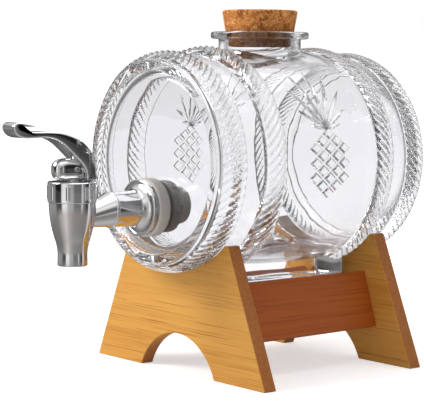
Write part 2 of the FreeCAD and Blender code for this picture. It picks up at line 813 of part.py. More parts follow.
coilEdges = [edge for step in range(coilSteps) for edge in quarterTurn(step)]
coilStart, coilWay = coilPoint(0)
section = Part.Wire(Part.makeCircle(wire, coilStart, coilWay))
spring = doc.addObject("Part::Feature", "return_spring")
spring.Label = "return_spring"
spring.Shape = Part.Wire(coilEdges).makePipeShell([section], True)
print("spring's gap between turns", round(coilHeight / driving["springTurns"] - 2 * wire, 2), "mm")
spring.Placement.Base = Vector(0, tapY.value, tapZ.value + coilFoot)

# Lever: side outline measured from the pin, padded to the lever's width.
lever = newBody("lever", tapY, tapZ + pinRise)
reach = dim.leverReach
paddleTop = dim.paddleHeight + dim.paddleThickness
lipTop = dim.paddleHeight + dim.curlHeight
tipRound = dim.curlHeight - dim.curlRadius
lipEnd = dim.curlLength - reach
throat = (-dim.throatReach, dim.heelRadius)
back = (dim.hubRear, -dim.hubBack)
lipStart = (tipRound - reach, lipTop)
slitEnd = dim.curlLength - dim.slitDepth - reach
slitTop = lipTop - dim.curlFall - dim.curlEdge
leverSketch = outline(newSketch(lever, "side", "YZ_Plane"), [
    (dim.hubRear, -dim.heelRadius),
    back,
    crown(-dim.backReach, paddleTop - dim.backFall, dim.backSwell, 1, back),
    (lipEnd, paddleTop),
    (slitEnd, slitTop - dim.slitHeight),
    (slitEnd, slitTop),
    (lipEnd, slitTop),
    (lipEnd, slitTop + dim.curlEdge),
    lipStart,
    (-reach, dim.paddleHeight + dim.curlRadius, tipRound, 1),
    (dim.curlRadius - reach, dim.paddleHeight, dim.curlRadius, 1),
    (-dim.paddleStart, dim.paddleHeight),
    crown(*throat, dim.throatHollow, -1, (-dim.paddleStart, dim.paddleHeight)),
    (-dim.heelReach, dim.heelRadius),
    (-dim.heelReach - dim.heelRadius, 0, dim.heelRadius, 1),
    (-dim.heelReach, -dim.heelRadius, dim.heelRadius, 1),
])
extruded(lever, "bar", leverSketch, dim.leverWidth)
slotSketch = outline(newSketch(lever, "slot_sketch", "YZ_Plane"), [
    (-dim.slotFront, -dim.heelRadius),
    (dim.slotRear, -dim.heelRadius),
    (dim.slotRear, dim.slotTop),
    (-dim.slotFront, dim.slotTop),
])
extruded(lever, "slot", slotSketch, 2 * (dim.stemRadius + dim.slotSide), "Pocket")
pinSketch = circles(newSketch(lever, "pin_sketch", "YZ_Plane"), [(0, 0)], dim.pinRadius + dim.pinGap)
extruded(lever, "pin_hole", pinSketch, dim.leverWidth, "Pocket")

pin = doc.addObject("Part::Cylinder", "lever_pin")
pin.Label = "lever_pin"
pin.setExpression("Radius", dim.pinRadius.text)
pin.setExpression("Height", dim.pinLength.text)
pin.Placement.Rotation = FreeCAD.Rotation(Vector(0, 1, 0), 90)
place(pin, -dim.pinLength / 2, tapY, tapZ + pinRise)

doc.recompute()

# Every object and every piece is checked before anything is written.
subparts = [item for item in doc.Objects if item.TypeId == "PartDesign::Body"]
subparts += [dowelSet, stemSeal, spring, pin]
broken = [item.Name for item in doc.Objects if {"Invalid", "Error"} & set(item.State)]
broken += [part.Label for part in subparts if part.Shape.isNull() or not part.Shape.isValid()]
if broken:
    raise RuntimeError(f"these objects failed: {', '.join(broken)}")

os.makedirs("parts", exist_ok=True)
for part in subparts:
    part.Shape.exportStep(f"parts/{part.Label}.step")
    print(part.Label, len(part.Shape.Solids), round(part.Shape.Volume), "mm3")
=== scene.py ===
import bpy
import bmesh
from math import acos, cos, hypot, pi, radians, sin
from mathutils import Matrix, Vector


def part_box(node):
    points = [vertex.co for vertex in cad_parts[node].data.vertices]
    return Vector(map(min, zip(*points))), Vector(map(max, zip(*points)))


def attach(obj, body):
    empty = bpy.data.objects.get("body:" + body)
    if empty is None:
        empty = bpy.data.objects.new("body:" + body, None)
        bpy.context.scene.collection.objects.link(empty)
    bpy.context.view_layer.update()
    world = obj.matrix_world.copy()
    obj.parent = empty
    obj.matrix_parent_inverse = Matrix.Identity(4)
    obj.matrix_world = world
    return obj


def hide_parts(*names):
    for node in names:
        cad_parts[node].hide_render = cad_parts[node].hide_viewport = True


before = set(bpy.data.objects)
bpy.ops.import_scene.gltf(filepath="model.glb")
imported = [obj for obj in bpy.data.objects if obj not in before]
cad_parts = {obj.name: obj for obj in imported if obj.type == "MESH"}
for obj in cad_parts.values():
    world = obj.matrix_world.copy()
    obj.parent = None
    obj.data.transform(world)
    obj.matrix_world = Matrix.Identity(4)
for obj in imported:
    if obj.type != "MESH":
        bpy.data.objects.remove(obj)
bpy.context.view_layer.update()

# The scene's own values: the view of the photograph, the light and the floor.
studio = {
    "azimuth": 50.159,
    "elevation": 4.813,
    "roll": 0.449,
    "place": (0.68988, -0.56416, 0.17113),
    "lens": 134.735,
    "keyPlace": (-0.75, -1.10, 0.95),
    "keySize": 0.9,
    "keyPower": 19.0,
    "fillPlace": (1.15, -0.55, 0.75),
    "fillSize": 1.1,
    "fillPower": 0.8,
    "topPlace": (0.1, 0.25, 1.3),
    "topSize": 1.2,
    "topPower": 7.0,
    "ambient": 0.34,
    # what chrome reflects, by the share of a turn round from the side away from the camera:
    # first level with it and above, then below it
    "chromeAbove": [(0.00, 0.05), (0.07, 0.10), (0.11, 0.30), (0.27, 0.24), (0.29, 0.01), (0.36, 0.01),
                    (0.38, 1.00), (0.43, 1.00), (0.46, 0.50), (0.52, 0.42), (0.54, 0.18), (0.625, 0.16),
                    (0.64, 0.80), (0.66, 0.30), (0.70, 0.02), (0.735, 0.02), (0.75, 1.00), (0.79, 0.90),
                    (0.82, 0.45), (0.92, 0.30), (0.94, 0.04), (1.00, 0.05)],
    "chromeBelow": [(0.00, 0.06), (0.08, 0.14), (0.29, 0.20), (0.36, 0.50), (0.42, 0.75), (0.46, 0.50),
                    (0.54, 0.30), (0.70, 0.24), (0.735, 0.26), (0.75, 0.80), (0.79, 0.60), (0.82, 0.22),
                    (0.93, 0.12), (1.00, 0.06)],
    "chromeWarm": (1.0, 0.94, 0.88),
    # by height, from straight down to straight up: the step between the two, and the steep rays
    "chromeStep": [(0.36, 0.0), (0.42, 1.0)],
    "chromeSteep": [(0.00, 0.60), (0.20, 0.45), (0.60, 0.03), (0.72, 0.90), (1.00, 0.95)],
    "chromeSteepShare": [(0.05, 1.0), (0.25, 0.0), (0.60, 0.0), (0.82, 1.0)],
    # what glass shows, by how far a ray is turned from the camera's own way
    "glassAway": [(0.00, 0.03), (0.50, 0.06), (0.78, 0.22), (0.90, 0.55), (0.955, 1.0)],
    "floorSize": 30.0,
    "floorColour": (0.86, 0.86, 0.86),
    "floorInGlass": (0.10, 0.10, 0.10),
    "floorGlow": 0.5,
    "floorFade": (0.25, 1.2),
}


# Small helpers for node trees and meshes.
def addNode(tree, kind, inputs=None, **settings):
    node = tree.nodes.new(kind)
    for name, value in settings.items():
        setattr(node, name, value)
    for key, value in (inputs or {}).items():
        socket = node.inputs[key]
        if isinstance(value, bpy.types.NodeSocket):
            tree.links.new(value, socket)
        else:
            socket.default_value = value
    return node


def outOf(tree, kind, inputs=None, **settings):
    return addNode(tree, kind, inputs, **settings).outputs[0]


def mathNode(tree, operation, first, second=0.0, third=0.0):
    return outOf(tree, "ShaderNodeMath", {0: first, 1: second, 2: third}, operation=operation)


def newMaterial(name, values):
    material = bpy.data.materials.new(name)
    material.use_nodes = True
    tree = material.node_tree
    shader = tree.nodes["Principled BSDF"]
    for key, value in values.items():
        shader.inputs[key].default_value = value
    return material, tree, shader


def rampNode(tree, factor, stops):
    # stops are (position, grey or colour)
    node = addNode(tree, "ShaderNodeValToRGB", {0: factor})
    while len(node.color_ramp.elements) < len(stops):
        node.color_ramp.elements.new(1.0)
    for element, (position, colour) in zip(node.color_ramp.elements, stops):
        element.position = position
        element.color = (colour, colour, colour, 1) if isinstance(colour, float) else (*colour, 1)
    return node.outputs[0]


def objectPlace(tree, scale=(1, 1, 1), turn=(0, 0, 0)):
    place = addNode(tree, "ShaderNodeTexCoord").outputs["Object"]
    return outOf(tree, "ShaderNodeMapping", {"Vector": place, "Scale": scale, "Rotation": turn})


def noiseNode(tree, place, scale, detail=3.0, roughness=0.5):
    node = addNode(tree, "ShaderNodeTexNoise", {"Vector": place, "Scale": scale, "Detail": detail,
                                                "Roughness": roughness})
    return node.outputs[0]


def mixNode(tree, factor, first, second, blend="MIX"):
    node = addNode(tree, "ShaderNodeMix", data_type="RGBA", blend_type=blend)
    for socket, value in ((node.inputs[0], factor), (node.inputs[6], first), (node.inputs[7], second)):
        if isinstance(value, bpy.types.NodeSocket):
            tree.links.new(value, socket)
        elif isinstance(value, tuple):
            socket.default_value = (*value, 1)
        else:
            socket.default_value = value
    return node.outputs[2]


def bumpNode(tree, height, strength, distance, shader):
    node = addNode(tree, "ShaderNodeBump", {"Height": height, "Strength": strength, "Distance": distance})
    tree.links.new(node.outputs[0], shader.inputs["Normal"])


def arcLine(centre, radius, start, end, count):
    # Points (along, radius) on an arc, with angles in degrees.
    angles = [radians(start + (end - start) * step / count) for step in range(count + 1)]
    return [(centre[0] + radius * cos(angle), centre[1] + radius * sin(angle)) for angle in angles]


def bulgeLine(start, end, rise, count):
    # Arc from start to end that stands out to the left of the way by rise.
    chord = hypot(end[0] - start[0], end[1] - start[1])
    radius = (chord * chord / 4 + rise * rise) / (2 * rise)
    half = acos(max(-1.0, min(1.0, (radius - rise) / radius)))
    along = ((end[0] - start[0]) / chord, (end[1] - start[1]) / chord)
    out = (-along[1], along[0])
    middle = ((start[0] + end[0]) / 2, (start[1] + end[1]) / 2)
    points = []
    for step in range(count + 1):
        angle = half * (2 * step / count - 1)
        shift = radius * sin(angle)
        lift = radius * cos(angle) - (radius - rise)
        points.append((middle[0] + along[0] * shift + out[0] * lift, middle[1] + along[1] * shift + out[1] * lift))
    return points


def newObject(name, data):
    thing = bpy.data.objects.new(name, data)
    bpy.context.scene.collection.objects.link(thing)
    return thing


def finishMesh(name, shape, material, sharp=32):
    mesh = bpy.data.meshes.new(name)
    bmesh.ops.recalc_face_normals(shape, faces=shape.faces)
    shape.to_mesh(mesh)
    shape.free()
    return dress(newObject(name, mesh), material, sharp)


def dress(piece, material, sharp=32):
    piece.data.materials.clear()
    piece.data.materials.append(material)
    piece.data.shade_smooth()
    if sharp:
        piece.data.set_sharp_from_angle(angle=radians(sharp))
    return piece


def turnedPiece(name, line, material, centre, lying=True, steps=128, sharp=32, closed=False):
    # Turns a line of (along, radius) points about the Y axis, or about Z where it stands.
    shape = bmesh.new()
    rings = []
    for along, radius in line:
        ring = []
        for step in range(steps if radius > 1e-9 else 1):
            angle = 2 * pi * step / steps
            across = (radius * sin(angle), radius * cos(angle))
            point = (across[0], along, across[1]) if lying else (across[0], across[1], along)
            ring.append(shape.verts.new(Vector(point) + Vector(centre)))
        rings.append(ring)
    pairs = list(zip(rings, rings[1:])) + ([(rings[-1], rings[0])] if closed else [])
    for first, second in pairs:
        if len(first) == 1 and len(second) == 1:
            continue
        for step in range(steps):
            following = (step + 1) % steps
            corners = []
            for ring, order in ((first, (step, following)), (second, (following, step))):
                corners += [ring[0]] if len(ring) == 1 else [ring[index] for index in order]
            shape.faces.new(corners)
    return finishMesh(name, shape, material, sharp)


def realMesh(piece):
    # Replaces a piece's mesh by what its modifiers make, and takes the modifiers off.
    evaluated = piece.evaluated_get(bpy.context.evaluated_depsgraph_get())
    mesh = bpy.data.meshes.new_from_object(evaluated)
    piece.modifiers.clear()
    old = piece.data
    piece.data = mesh
    bpy.data.meshes.remove(old)
    return piece


def emptyPiece(name):
    # A piece without a mesh of its own, for a tree that makes it.
    return newObject(name, bpy.data.meshes.new(name))


def carve(piece, tool, operation):
    # Both meshes have to be closed, which is what the solver needs.
    modifier = piece.modifiers.new(operation, "BOOLEAN")
    modifier.object = tool
    modifier.operation = operation
    modifier.solver = "MANIFOLD"
    bpy.context.view_layer.update()
    realMesh(piece)
    bpy.data.objects.remove(tool)
    return piece


def smoothLine(corners, steps=8):
    # A closed line of (y, z) points through corners (y, z, smooth), straight between two sharp ones.
    points = []
    for number, (y, z, smooth) in enumerate(corners):
        following = corners[(number + 1) % len(corners)]
        start, end = Vector((y, z)), Vector(following[:2])
        before = Vector(corners[number - 1][:2]) if smooth else start * 2 - end
        after = Vector(corners[(number + 2) % len(corners)][:2]) if following[2] else end * 2 - start
        count = steps if smooth or following[2] else 2
        for step in range(count):
            way = step / count
            points.append(0.5 * (2 * start + (end - before) * way
                                 + (2 * before - 5 * start + 4 * end - after) * way ** 2
                                 + (3 * start - before - 3 * end + after) * way ** 3))
    return points


def insetRoom(points, number, inward):
    # How far it is from a point, straight inwards, to the other side of the line.
    spot, room = points[number], 1.0
    for other in range(len(points)):
        if number in (other, (other + 1) % len(points)):
            continue
        first, second = points[other] - spot, points[(other + 1) % len(points)] - spot
        along = second - first
        cross = inward.x * along.y - inward.y * along.x
        if abs(cross) < 1e-12:
            continue
        reach = (first.x * along.y - first.y * along.x) / cross
        part = (first.x * inward.y - first.y * inward.x) / cross
        if reach > 0 and 0 <= part <= 1:
            room = min(room, reach)
    return room


def outlinePiece(name, corners, width, rounding, material, centre, sharp=40, layers=5):
    # A side outline in the YZ plane, given a width along X and rounded edges.
    points = smoothLine(corners)
    count = len(points)
    turn = sum(points[n - 1].x * points[n].y - points[n - 1].y * points[n].x for n in range(count))
    inwards, rooms = [], []
    for number in range(count):
        way = (points[(number + 1) % count] - points[number - 1]).normalized()
        inwards.append(Vector((-way.y, way.x)) * (1 if turn > 0 else -1))
        rooms.append(min(rounding, 0.42 * insetRoom(points, number, inwards[-1])))
    shape = bmesh.new()
    rings = []
    for side in (-1, 1):
        for layer in range(layers + 1):
            angle = (pi / 2) * layer / layers
            angle = pi / 2 - angle if side < 0 else angle
            x = side * (width / 2 - rounding * (1 - sin(angle)))
            ring = []
            for point, inward, room in zip(points, inwards, rooms):
                place = point + inward * room * (1 - cos(angle))
                ring.append(shape.verts.new(Vector((x, place.x, place.y)) + Vector(centre)))
            rings.append(ring)
    for first, second in zip(rings, rings[1:]):
        for number in range(count):
            following = (number + 1) % count
            shape.faces.new((first[number], first[following], second[following], second[number]))
    shape.faces.new(rings[0])
    shape.faces.new(rings[-1])
    bmesh.ops.triangulate(shape, faces=[face for face in shape.faces if len(face.verts) > 4])
    return finishMesh(name, shape, material, sharp)


# Geometry Nodes trees are built here; their inputs are sizes with names.
def geometryTree(name, sizes):
    tree = bpy.data.node_groups.new(name, "GeometryNodeTree")
    tree.interface.new_socket(name="Geometry", in_out="INPUT", socket_type="NodeSocketGeometry")
    sockets = {}
    for label, value in sizes.items():
        kind = "NodeSocketInt" if isinstance(value, int) else "NodeSocketFloat"
        if isinstance(value, bpy.types.Material):
            kind = "NodeSocketMaterial"
        sockets[label] = tree.interface.new_socket(name=label, in_out="INPUT", socket_type=kind).identifier
    tree.interface.new_socket(name="Geometry", in_out="OUTPUT", socket_type="NodeSocketGeometry")
    entry = tree.nodes.new("NodeGroupInput")
    return tree, entry.outputs, sockets


def endTree(tree, geometry, material):
    real = addNode(tree, "GeometryNodeRealizeInstances", {"Geometry": geometry})
    dressed = addNode(tree, "GeometryNodeSetMaterial", {"Geometry": real.outputs[0], "Material": material})
    addNode(tree, "NodeGroupOutput", {"Geometry": dressed.outputs[0]})


def runTree(piece, tree, sockets, sizes):
    modifier = piece.modifiers.new(tree.name, "NODES")
    modifier.node_group = tree
    for label, value in sizes.items():
        modifier[sockets[label]] = value
    bpy.context.view_layer.update()
    return realMesh(piece)


# Materials
def clearGlass():
    glass = {"tint": (0.945, 0.945, 0.965), "edge": (0.42, 0.43, 0.45)}
    material, tree, shader = newMaterial("clearGlass", {"Transmission Weight": 1.0, "Roughness": 0.01, "IOR": 1.47})
    # The base colour turns to the edge grey at grazing angles: painted shade for the glass's dark outlines and rib
    # strokes.
    facing = addNode(tree, "ShaderNodeLayerWeight", {"Blend": 0.35}).outputs["Facing"]
    edge = mathNode(tree, "POWER", facing, 4.0)
    colour = mixNode(tree, edge, glass["tint"], glass["edge"])
    tree.links.new(colour, shader.inputs["Base Color"])
    ripple = noiseNode(tree, objectPlace(tree), 28.0, 2.0)
    bumpNode(tree, ripple, 0.25, 0.0015, shader)
    return material


def brightChrome(name="brightChrome", colour=(0.74, 0.74, 0.75), roughness=0.05):
    material, tree, shader = newMaterial(name, {"Metallic": 1.0})
    wear = noiseNode(tree, objectPlace(tree), 90.0, 4.0)
    tree.links.new(mixNode(tree, wear, tuple(0.93 * part for part in colour), colour), shader.inputs["Base Color"])
    rough = addNode(tree, "ShaderNodeMapRange", {"Value": wear, "To Min": roughness, "To Max": roughness * 1.8})
    tree.links.new(rough.outputs[0], shader.inputs["Roughness"])
    bumpNode(tree, noiseNode(tree, objectPlace(tree), 260.0, 2.0), 0.03, 0.0002, shader)
    return material


def softGrey(name, colour, roughness, glow=0.0):
    material, tree, shader = newMaterial(name, {
        "Roughness": roughness, "Subsurface Weight": glow, "Subsurface Radius": (0.004, 0.004, 0.004)})
    cloud = noiseNode(tree, objectPlace(tree), 140.0, 3.0)
    dark = tuple(0.86 * part for part in colour)
    tree.links.new(mixNode(tree, cloud, dark, colour), shader.inputs["Base Color"])
    bumpNode(tree, noiseNode(tree, objectPlace(tree), 900.0, 2.0), 0.08, 0.0003, shader)
    return material


def granulatedCork():
    material, tree, shader = newMaterial("granulatedCork", {"Roughness": 0.85, "Specular IOR Level": 0.15})
    place = objectPlace(tree)
    bent = outOf(tree, "ShaderNodeMixRGB", {0: 0.012, 1: place, 2: addNode(
        tree, "ShaderNodeTexNoise", {"Vector": place, "Scale": 260.0}).outputs["Color"]})
    grains = addNode(tree, "ShaderNodeTexVoronoi", {"Vector": bent, "Scale": 420.0})
    tone = outOf(tree, "ShaderNodeSeparateColor", {0: grains.outputs["Color"]})
    colour = rampNode(tree, tone, [(0.0, (0.36, 0.10, 0.025)), (0.18, (0.64, 0.22, 0.055)),
                                   (0.55, (0.82, 0.33, 0.095)), (1.0, (0.92, 0.46, 0.16))])
    seams = addNode(tree, "ShaderNodeTexVoronoi", {"Vector": bent, "Scale": 420.0}, feature="DISTANCE_TO_EDGE")
    seam = rampNode(tree, seams.outputs["Distance"], [(0.0, 0.0), (0.07, 1.0)])
    pits = rampNode(tree, noiseNode(tree, place, 600.0, 2.0), [(0.30, 0.0), (0.38, 1.0)])
    marks = mixNode(tree, 1.0, seam, pits, "MULTIPLY")
    tree.links.new(mixNode(tree, marks, (0.30, 0.08, 0.02), colour), shader.inputs["Base Color"])
    bumpNode(tree, marks, 0.5, 0.0004, shader)
    return material


def bamboo(name, along, tint=1.0):
    # along is the axis that the fibres follow: 0 for X, 1 for Y.
    wood = {"light": (0.80, 0.405, 0.080), "middle": (0.69, 0.305, 0.050), "dark": (0.45, 0.150, 0.020),
            "end": (0.30, 0.085, 0.018), "fibre": 1300.0, "strip": 48.0, "stretch": 0.014}
    material, tree, shader = newMaterial(name, {"Roughness": 0.42, "Specular IOR Level": 0.35})
    squeeze = [1.0, 1.0, 1.0]
    squeeze[along] = wood["stretch"]
    place = objectPlace(tree, tuple(squeeze))
    fibres = noiseNode(tree, place, wood["fibre"], 4.0, 0.6)
    broad = noiseNode(tree, place, wood["fibre"] / 9, 3.0, 0.6)
    stripRow = addNode(tree, "ShaderNodeSeparateXYZ", {0: objectPlace(tree)}).outputs[2]
    strip = mathNode(tree, "FLOOR", mathNode(tree, "MULTIPLY", stripRow, wood["strip"]))
    tone = outOf(tree, "ShaderNodeTexWhiteNoise", {"W": strip}, noise_dimensions="1D")
    grain = rampNode(tree, broad, [(0.30, wood["middle"]), (0.50, wood["light"]), (0.72, wood["middle"])])
    lines = rampNode(tree, fibres, [(0.28, 0.0), (0.46, 1.0)])
    colour = mixNode(tree, lines, wood["dark"], grain)
    colour = mixNode(tree, mathNode(tree, "MULTIPLY", tone, 0.22), colour, wood["middle"])
    dots = addNode(tree, "ShaderNodeTexVoronoi", {"Vector": place, "Scale": 320.0, "Randomness": 1.0})
    speck = rampNode(tree, dots.outputs["Distance"], [(0.05, 0.55), (0.16, 1.0)])
    colour = mixNode(tree, 0.6, colour, mixNode(tree, 1.0, colour, speck, "MULTIPLY"))
    # Faces across the fibres take the darker end colour: real end grain, deepened as painted shade for the boards'
    # shaded side edges.
    facing = addNode(tree, "ShaderNodeSeparateXYZ", {0: addNode(tree, "ShaderNodeTexCoord").outputs["Normal"]})
    ends = mathNode(tree, "ABSOLUTE", facing.outputs[along])
    endMask = rampNode(tree, ends, [(0.45, 0.0), (0.8, 0.85)])
    endGrainAndShade = rampNode(tree, noiseNode(tree, objectPlace(tree), 700.0, 3.0),
                        [(0.35, wood["end"]), (0.65, tuple(1.5 * part for part in wood["end"]))])
    colour = mixNode(tree, endMask, colour, endGrainAndShade)
    # A tint below 1 darkens and reddens this copy of the wood: painted shade, used for the rails that lie in shadow.
    colour = mixNode(tree, 1.0, colour, (tint, tint ** 2.6, tint ** 3.6), "MULTIPLY")
    tree.links.new(colour, shader.inputs["Base Color"])
    bumpNode(tree, fibres, 0.12, 0.0003, shader)
    return material


# Places that come from the frame.
barrelLow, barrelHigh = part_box("glass_barrel")
stemLow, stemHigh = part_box("valve_stem")
pinLow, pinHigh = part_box("lever_pin")
nutLow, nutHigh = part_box("lock_nut")
bonnetLow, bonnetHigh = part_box("bonnet_ring")
corkLow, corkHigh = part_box("cork_stopper")
pinCentre = (pinLow + pinHigh) / 2
barrelMiddle = (barrelLow.y + barrelHigh.y) / 2
tapMiddle = (stemLow.y + stemHigh.y) / 2
tapHeight = (nutLow.z + nutHigh.z) / 2

barrel = {
    "axis": 0.1188,
    "halfLength": (barrelHigh.y - barrelLow.y) / 2,
    "faceRecess": 0.0015,
    "rimInner": 0.0500,
    "rimOuter": 0.0573,
    "rimRound": 0.0022,
    "outerBand": (0.0763, 0.0586, 0.0609, 0.0601),  # distance and radius at the rim, then at the groove
    "innerBand": (0.0482, 0.0618, 0.0345, 0.0625),
    "bandRise": 0.0018,
    "groove": 0.0594,
    "bellyEdge": 0.0616,
    "bellyRise": 0.0014,
    "steps": 560,
    # Lean turns the ribs by radians per metre along the barrel; Sink is the share of Depth below the band
    "ribs": {"Ribs": 80, "Depth": 0.0015, "Lean": 1350.0, "Roundness": 0.8, "Sink": 0.68},
    "hollow": (0.0705, 0.0454, 0.0080, 0.0040),  # end, flat radius, corner, rise
    "neckRadius": 0.0237,
    "neckFlare": 0.0040,
    "flangeRadius": 0.0282,
    "flangeThickness": 0.0039,
    "flangeRound": 0.0013,
    "mouthRadius": 0.02013,
    "boreRadius": 0.01865,
    "footWidth": 0.048,
    "footHalfLength": 0.048,
    "footCorner": 0.004,
    "footEdge": 0.0012,
    "rootDepth": 0.008,  # how deep the neck and the foot start inside the belly
    "flareDepth": 0.0045,
    "mouthEdge": (0.0005, 0.0010, 0.0015),  # depth, overrun and widening
    "tapHole": (0.0084, -0.004, 0.012),  # radius, start and end from the face
}
barrelCentre = (0, barrelMiddle, barrel["axis"])


def bandLine(band, count):
    start = (band[0], band[1])
    end = (band[2], band[3])
    return bulgeLine(end, start, barrel["bandRise"], count)[::-1]


def glassOutside():
    # Half of the outer line, from the face's middle to the belly's edge; |along| falls.
    end = barrel["halfLength"]
    face = end - barrel["faceRecess"]
    recess = barrel["faceRecess"]
    line = [(face, 0)] + [(face, barrel["rimInner"] * part) for part in (0.2, 0.4, 0.6, 0.8, 0.92)]
    line += arcLine((face, barrel["rimInner"] + recess), recess, -90, 0, 4)
    edge = barrel["rimRound"]
    line += arcLine((end - edge, barrel["rimOuter"] - edge), edge, 0, 90, 5)
    line += bandLine(barrel["outerBand"], 14)
    line += [(barrel["outerBand"][2], barrel["groove"]), (barrel["innerBand"][0], barrel["groove"])]
    line += bandLine(barrel["innerBand"], 14)
    line += [(barrel["innerBand"][2], barrel["bellyEdge"])]
    edgePoint = line[-1]
    belly = bulgeLine((-edgePoint[0], edgePoint[1]), edgePoint, barrel["bellyRise"], 12)[::-1]
    return line + belly[1:-1] + [(-along, radius) for along, radius in line[::-1]]


def ropeTree(material):
    # Raises ribs on the bands, by the angle round the barrel and the way along it.
    sizes = {**barrel["ribs"], "Middle": barrelMiddle, "Axis": barrel["axis"], "Material": material}
    tree, entry, sockets = geometryTree("ropeBands", sizes)
    place = outOf(tree, "GeometryNodeInputPosition")
    parts = addNode(tree, "ShaderNodeSeparateXYZ", {0: place}).outputs
    height = mathNode(tree, "SUBTRACT", parts[2], entry["Axis"])
    away = mathNode(tree, "ABSOLUTE", mathNode(tree, "SUBTRACT", parts[1], entry["Middle"]))
    angle = mathNode(tree, "ARCTAN2", height, parts[0])
    phase = mathNode(tree, "ADD", mathNode(tree, "MULTIPLY", angle, entry["Ribs"]),
                     mathNode(tree, "MULTIPLY", away, entry["Lean"]))
    wave = mathNode(tree, "ABSOLUTE", mathNode(tree, "SINE", mathNode(tree, "MULTIPLY", phase, 0.5)))
    rib = mathNode(tree, "SUBTRACT", mathNode(tree, "POWER", wave, entry["Roundness"]), entry["Sink"])
    mask = outOf(tree, "GeometryNodeInputNamedAttribute", {"Name": "rope"}, data_type="FLOAT")
    lift = mathNode(tree, "MULTIPLY", mathNode(tree, "MULTIPLY", rib, mask), entry["Depth"])
    radial = outOf(tree, "ShaderNodeCombineXYZ", {0: parts[0], 2: height})
    outward = outOf(tree, "ShaderNodeVectorMath", {0: radial}, operation="NORMALIZE")
    offset = outOf(tree, "ShaderNodeVectorMath", {0: outward, "Scale": lift}, operation="SCALE")
    moved = addNode(tree, "GeometryNodeSetPosition", {"Geometry": entry["Geometry"], "Offset": offset})
    endTree(tree, moved.outputs[0], entry["Material"])
    return tree, sockets, sizes


def markRope(piece):
    # Stores how strongly each point of a band carries the ribs.
    mask = piece.data.attributes.new("rope", "FLOAT", "POINT")
    for vertex in piece.data.vertices:
        away = abs(vertex.co.y - barrelMiddle)
        radius = hypot(vertex.co.x, vertex.co.z - barrel["axis"])
        for far, farRadius, near, nearRadius in (barrel["outerBand"], barrel["innerBand"]):
            part = (away - near) / (far - near)
            if 0.01 < part < 0.99 and radius > farRadius + (nearRadius - farRadius) * (1 - part):
                mask.data[vertex.index].value = sin(pi * part) ** 0.5


relief = {
    "middle": barrelMiddle - 0.0027,
    "fruitRise": 0.0004,  # the fruit's middle above the barrel's axis, along the belly
    "buds": {"Columns": 3, "Rows": 9, "Column Step": 0.0105, "Row Step": 0.0041, "Width": 0.0298,
             "Height": 0.0390, "Bud Width": 0.0090, "Bud Height": 0.0070, "Raise": 0.0009, "Root": 0.0004},
    "leaves": 9,
    "leafLength": 0.0375,
    "leafWidth": 0.0036,
    "leafFan": 72.0,
    "leafCurl": 0.16,
    "leafStart": (-0.0008, 0.0192),
}


def reliefTree(material):
    # Buds in staggered rows inside an oval, laid flat: X is the way along the barrel, Y up round it.
    sizes = {**relief["buds"], "Material": material}
    tree, entry, sockets = geometryTree("fruitBuds", sizes)
    high = mathNode(tree, "MULTIPLY", entry["Row Step"], mathNode(tree, "SUBTRACT", entry["Rows"], 1.0))
    wide = mathNode(tree, "MULTIPLY", entry["Column Step"], mathNode(tree, "SUBTRACT", entry["Columns"], 1.0))
    grid = addNode(tree, "GeometryNodeMeshGrid", {
        "Size X": high, "Size Y": wide, "Vertices X": entry["Rows"], "Vertices Y": entry["Columns"]})
    place = addNode(tree, "ShaderNodeSeparateXYZ", {0: outOf(tree, "GeometryNodeInputPosition")})
    index = outOf(tree, "GeometryNodeInputIndex")
    row = mathNode(tree, "FLOOR", mathNode(tree, "DIVIDE", index, entry["Columns"]))
    shift = mathNode(tree, "MULTIPLY", mathNode(tree, "MODULO", row, 2.0),
                     mathNode(tree, "MULTIPLY", entry["Column Step"], 0.5))
    across = mathNode(tree, "ADD", place.outputs[1], shift)
    flat = outOf(tree, "ShaderNodeCombineXYZ", {0: across, 1: place.outputs[0]})
    laid = outOf(tree, "GeometryNodeSetPosition", {"Geometry": grid.outputs[0], "Position": flat})
    spot = addNode(tree, "ShaderNodeSeparateXYZ", {0: outOf(tree, "GeometryNodeInputPosition")})
    ovalX = mathNode(tree, "DIVIDE", spot.outputs[0], mathNode(tree, "MULTIPLY", entry["Width"], 0.5))
    ovalY = mathNode(tree, "DIVIDE", spot.outputs[1], mathNode(tree, "MULTIPLY", entry["Height"], 0.5))
    away = mathNode(tree, "ADD", mathNode(tree, "MULTIPLY", ovalX, ovalX), mathNode(tree, "MULTIPLY", ovalY, ovalY))
    outside = mathNode(tree, "GREATER_THAN", away, 1.15)
    kept = outOf(tree, "GeometryNodeDeleteGeometry", {"Geometry": laid, "Selection": outside})
    points = outOf(tree, "GeometryNodeMeshToPoints", {"Mesh": kept})
    depth = mathNode(tree, "ADD", entry["Raise"], entry["Root"])
    scale = outOf(tree, "ShaderNodeCombineXYZ", {
        0: mathNode(tree, "MULTIPLY", entry["Bud Width"], 0.5),
        1: mathNode(tree, "MULTIPLY", entry["Bud Height"], 0.5), 2: depth})
    bud = addNode(tree, "GeometryNodeMeshCone", {
        "Vertices": 4, "Side Segments": 2, "Radius Top": 0.66, "Radius Bottom": 1.15, "Depth": 1.0})
    placed = outOf(tree, "GeometryNodeInstanceOnPoints", {
        "Points": points, "Instance": bud.outputs[0], "Scale": scale})
    sink = outOf(tree, "ShaderNodeCombineXYZ", {2: mathNode(tree, "MULTIPLY", entry["Root"], -1.0)})
    sunk = outOf(tree, "GeometryNodeTransform", {"Geometry": placed, "Translation": sink})
    endTree(tree, sunk, entry["Material"])
    return tree, sockets, sizes


